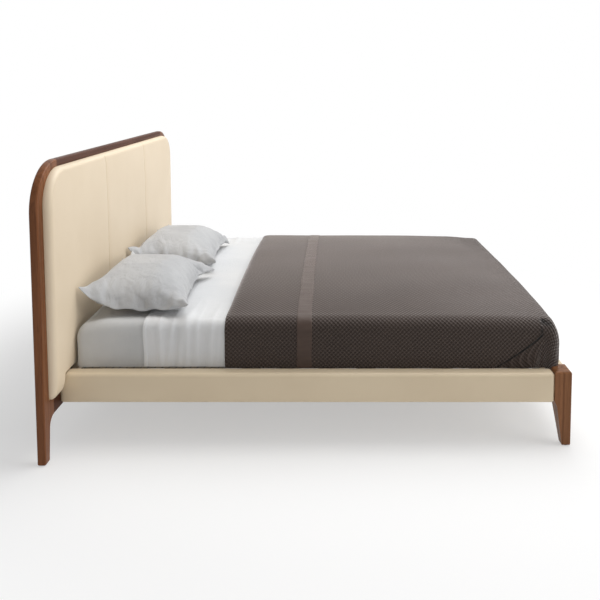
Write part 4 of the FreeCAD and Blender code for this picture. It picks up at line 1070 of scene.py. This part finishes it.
# %% Inflate a pillowcase
def sew_case(name, length, width, seed):
    """Two cloths with a narrow wall between them, a little uneven, lying flat.

    A modifier makes the wall, because an extrusion may number its edges differently each
    time, and the simulation would then crumple the case differently too."""
    alone()
    pitch, wall = 0.0097, 0.012
    bpy.ops.mesh.primitive_grid_add(x_subdivisions=round(width / pitch), y_subdivisions=round(length / pitch),
                                    size=1)
    case = bpy.context.object
    case.name = case.data.name = name
    x, y, z = points_of(case).T
    set_points(case, x * width, y * length, z)
    finish_with(case, "SOLIDIFY", thickness=wall, offset=1.0, use_even_offset=False)
    x, y, z = points_of(case).T
    set_points(case, x, y, z + 0.0016 * ripple(x, y, 0.12, seed, 20))
    return case


def inflate(case, frames=16):
    """Blows the case up by cloth simulation and applies the result."""
    modifier = case.modifiers.new("cloth", "CLOTH")
    cloth = modifier.settings
    cloth.quality, cloth.mass, cloth.air_damping = 5, 0.3, 1.0
    cloth.tension_stiffness = cloth.compression_stiffness = 15.0
    cloth.shear_stiffness, cloth.bending_stiffness = 5.0, 0.5
    cloth.tension_damping = cloth.compression_damping = cloth.shear_damping = 5.0
    cloth.use_pressure, cloth.uniform_pressure_force = True, 4.0
    cloth.effector_weights.gravity = 0.0
    modifier.point_cache.frame_start, modifier.point_cache.frame_end = 1, frames
    for frame_number in range(1, frames + 1):
        bpy.context.scene.frame_set(frame_number)
    alone(case)
    bpy.ops.object.modifier_apply(modifier=modifier.name)
    bpy.context.scene.frame_set(1)


def as_shares(case, simulated):
    """Each point as shares of half the pillow's width, length and thickness.
"""
    points = points_of(case)
    low, high = points.min(axis=0), points.max(axis=0)
    shares = (points - (low + high) / 2) / (high - low) * 2
    if not simulated:
        a, b, c = shares.T
        puff = np.sqrt((1 - a ** 4) * (1 - b ** 4))
        pinch = 1 - 0.08 * (1 - np.abs(a * b))
        shares = np.stack([a * pinch, b * pinch, np.sign(c) * (0.03 + 0.97 * puff)], axis=1)
    return shares.T


# %% [markdown]
# ## Two pillows on top of each other
# The thin lower pillow lies flat and is pressed by the other. The full upper one is tilted: its
# back leans on the headboard, its front slumps to the sheet, and its loose sides hang down
# past the lower pillow. Both share one resting height, so they touch and never cut through.

# %% Lay the four pillows
SHEET_TOP = FLAT_HIGH.z + 0.0025


def rest_height(x, y, low, high):
    """How high the lower pillow holds the upper one, over its own outline."""
    a = np.clip(np.abs(x - (low.x + high.x) / 2) / ((high.x - low.x) / 2), 0, 1)
    b = np.clip(np.abs(y - (low.y + high.y) / 2) / ((high.y - low.y) / 2), 0, 1)
    return SHEET_TOP + (high.z - SHEET_TOP) * (1 - a ** 3) * (1 - b ** 3)


def lower_pillow(a, b, c, low, high):
    near, corner = np.clip(-b, 0, 1), np.clip(-a, 0, 1) ** 3 * np.clip(b, 0, 1) ** 3
    x = low.x + (a + 1) / 2 * (high.x - low.x)
    y = low.y + (b + 1) / 2 * (high.y - low.y) + 0.17 * near ** 3
    seam = SHEET_TOP + 0.030 - 0.026 * near ** 2 + 0.084 * corner
    z = seam + np.where(c > 0, 0.045 - 0.03 * near ** 2, 0.036) * c * (1 - 0.85 * corner)
    z = np.maximum(z, SHEET_TOP)
    return x, y, np.minimum(z, np.maximum(rest_height(x, y, low, high), seam + 0.002) - 0.001)


def upper_pillow(a, b, c, low, high, under_low, under_high, slump, seed):
    """slump says how far the far corners come in at the back and the front, how far the front
    one drops, and how crumpled the sides are."""
    back_in, front_in, front_down, crumpled = slump
    back, near, far = (a + 1) / 2, np.clip(-b, 0, 1), np.clip(b, 0, 1)
    far_back, far_front = (1 - back) ** 3 * far ** 3, np.clip(a, 0, 1) ** 3 * far ** 3
    x = low.x + back * (high.x - low.x) + back_in * far_back - front_in * far_front
    x = x - 0.014 * (1 - b ** 2) * (1 + b) * eased((back - 0.6) / 0.4)
    x = x + 0.028 * (1 - b ** 2) * (0.6 + 0.4 * b) * eased((0.4 - back) / 0.4)
    y = low.y + (b + 1) / 2 * (high.y - low.y)
    # The seam's height from back to front, along the middle and along the sides.
    spine = high.z - 0.049 - 0.022 * back - 0.078 * eased((back - 0.58 - 0.10 * far) / 0.42)
    side = high.z - 0.034 - (0.500 * back - 0.712 * back ** 2 + 0.289 * back ** 3)
    side = side - 0.020 * np.sin(math.pi * np.clip(back, 0, 1)) * near
    side = side - 0.003 * far_back - front_down * far_front
    seam = spine + (side - spine) * np.clip(np.abs(b) / 0.94, 0, 1) ** 2.2
    # Gathers along the seams, which end short of the seam and of the middle.
    front, flank = np.exp(-(1 - a) / 0.26), np.exp(-(1 - np.abs(b)) / 0.34)
    gathers = (0.0045 * ripple(b, a * 0.15, 0.30, seed) + 0.0110 * ripple(b, a * 0.1, 0.13, seed + 2)) * front
    gathers = gathers + 0.0085 * ripple(a, b * 0.15, 0.34, seed + 1) * flank
    gathers = gathers + crumpled * ripple(a + 0.3 * b, b * 0.4, 0.17, seed + 3) * flank
    puff = np.abs(c) ** 0.8 * (1 - np.abs(c)) * 3
    z = seam + np.where(c > 0, 0.060 + 0.014 * back, 0.036) * c + gathers * np.clip(puff, 0, 1) * (c > -0.2)
    z = np.minimum(z, high.z + 0.004)
    held = rest_height(x, y, under_low, under_high) + 0.0015
    return x, y, np.where(c < 0.2, np.maximum(z, np.minimum(held, z + 0.03)), z)


CASE_LARGER = 1.09  # a flat case is larger than the pillow it makes
for stack, seeds, slump in (("left", (3, 5), (0.042, 0.0, 0.024, 0.0080)),
                            ("right", (8, 12), (0.064, 0.030, 0.056, 0.0150))):
    under_low, under_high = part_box(f"pillow_lower_{stack}")
    for layer, seed in zip(("lower", "upper"), seeds):
        node = f"pillow_{layer}_{stack}"
        low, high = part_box(node)
        length, width = CASE_LARGER * (high.y - low.y), CASE_LARGER * (high.x - low.x)
        pillow = sew_case(f"{layer}_pillow_{stack}", length, width, seed)
        inflate(pillow)
        shares = as_shares(pillow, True)
        if layer == "lower":
            laid = lower_pillow(*shares, low, high)
        else:
            laid = upper_pillow(*shares, low, high, under_low, under_high, slump, seed)
        set_points(pillow, *laid)
        finish_with(pillow, "SUBSURF", levels=1, render_levels=1)
        smooth(pillow, 80)
        stand_in(pillow, pillow_cotton, "pillow_cotton", node, node)
        print(pillow.name, "faces:", len(pillow.data.polygons), "top:", round(laid[2].max(), 3))

# %% [markdown]
# ## The lining behind the headboard
# The back of the headboard is closed with a dark woven cloth, pulled tight and stapled along
# its edge. Between the staples it gives a little, so its border is very slightly scalloped.

# %% Model the lining
LINING_LOW, LINING_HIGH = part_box("head_back_cover")


def model_lining():
    low, high = LINING_LOW, LINING_HIGH
    columns, rows = np.linspace(low.y, high.y, 131), np.linspace(low.z, high.z, 71)
    cloth, column, row = flat_grid("back_lining", columns, rows)
    y, z = round_off(columns[column], rows[row], high.y, high.z, PAD_CORNER)
    edge = np.minimum.reduce([high.y - np.abs(y), high.z - z, z - low.z])
    staples = 0.05
    scallop = 0.0010 * np.abs(np.sin(math.pi * (np.abs(y) + z) / staples)) * np.exp(-edge / 0.03)
    sag = 0.00072 * ripple(y, z, 0.45, 61) * eased(edge / 0.1)
    set_points(cloth, low.x + 0.0016 + scallop + sag, y, z)
    write_flat_map(cloth, y, z)
    finish_with(cloth, "SOLIDIFY", thickness=0.0008, offset=0.0)
    smooth(cloth, 80)
    return cloth


back_lining = model_lining()
stand_in(back_lining, lining, "backing_cloth", "frame", "head_back_cover")
print("lining faces:", len(back_lining.data.polygons))
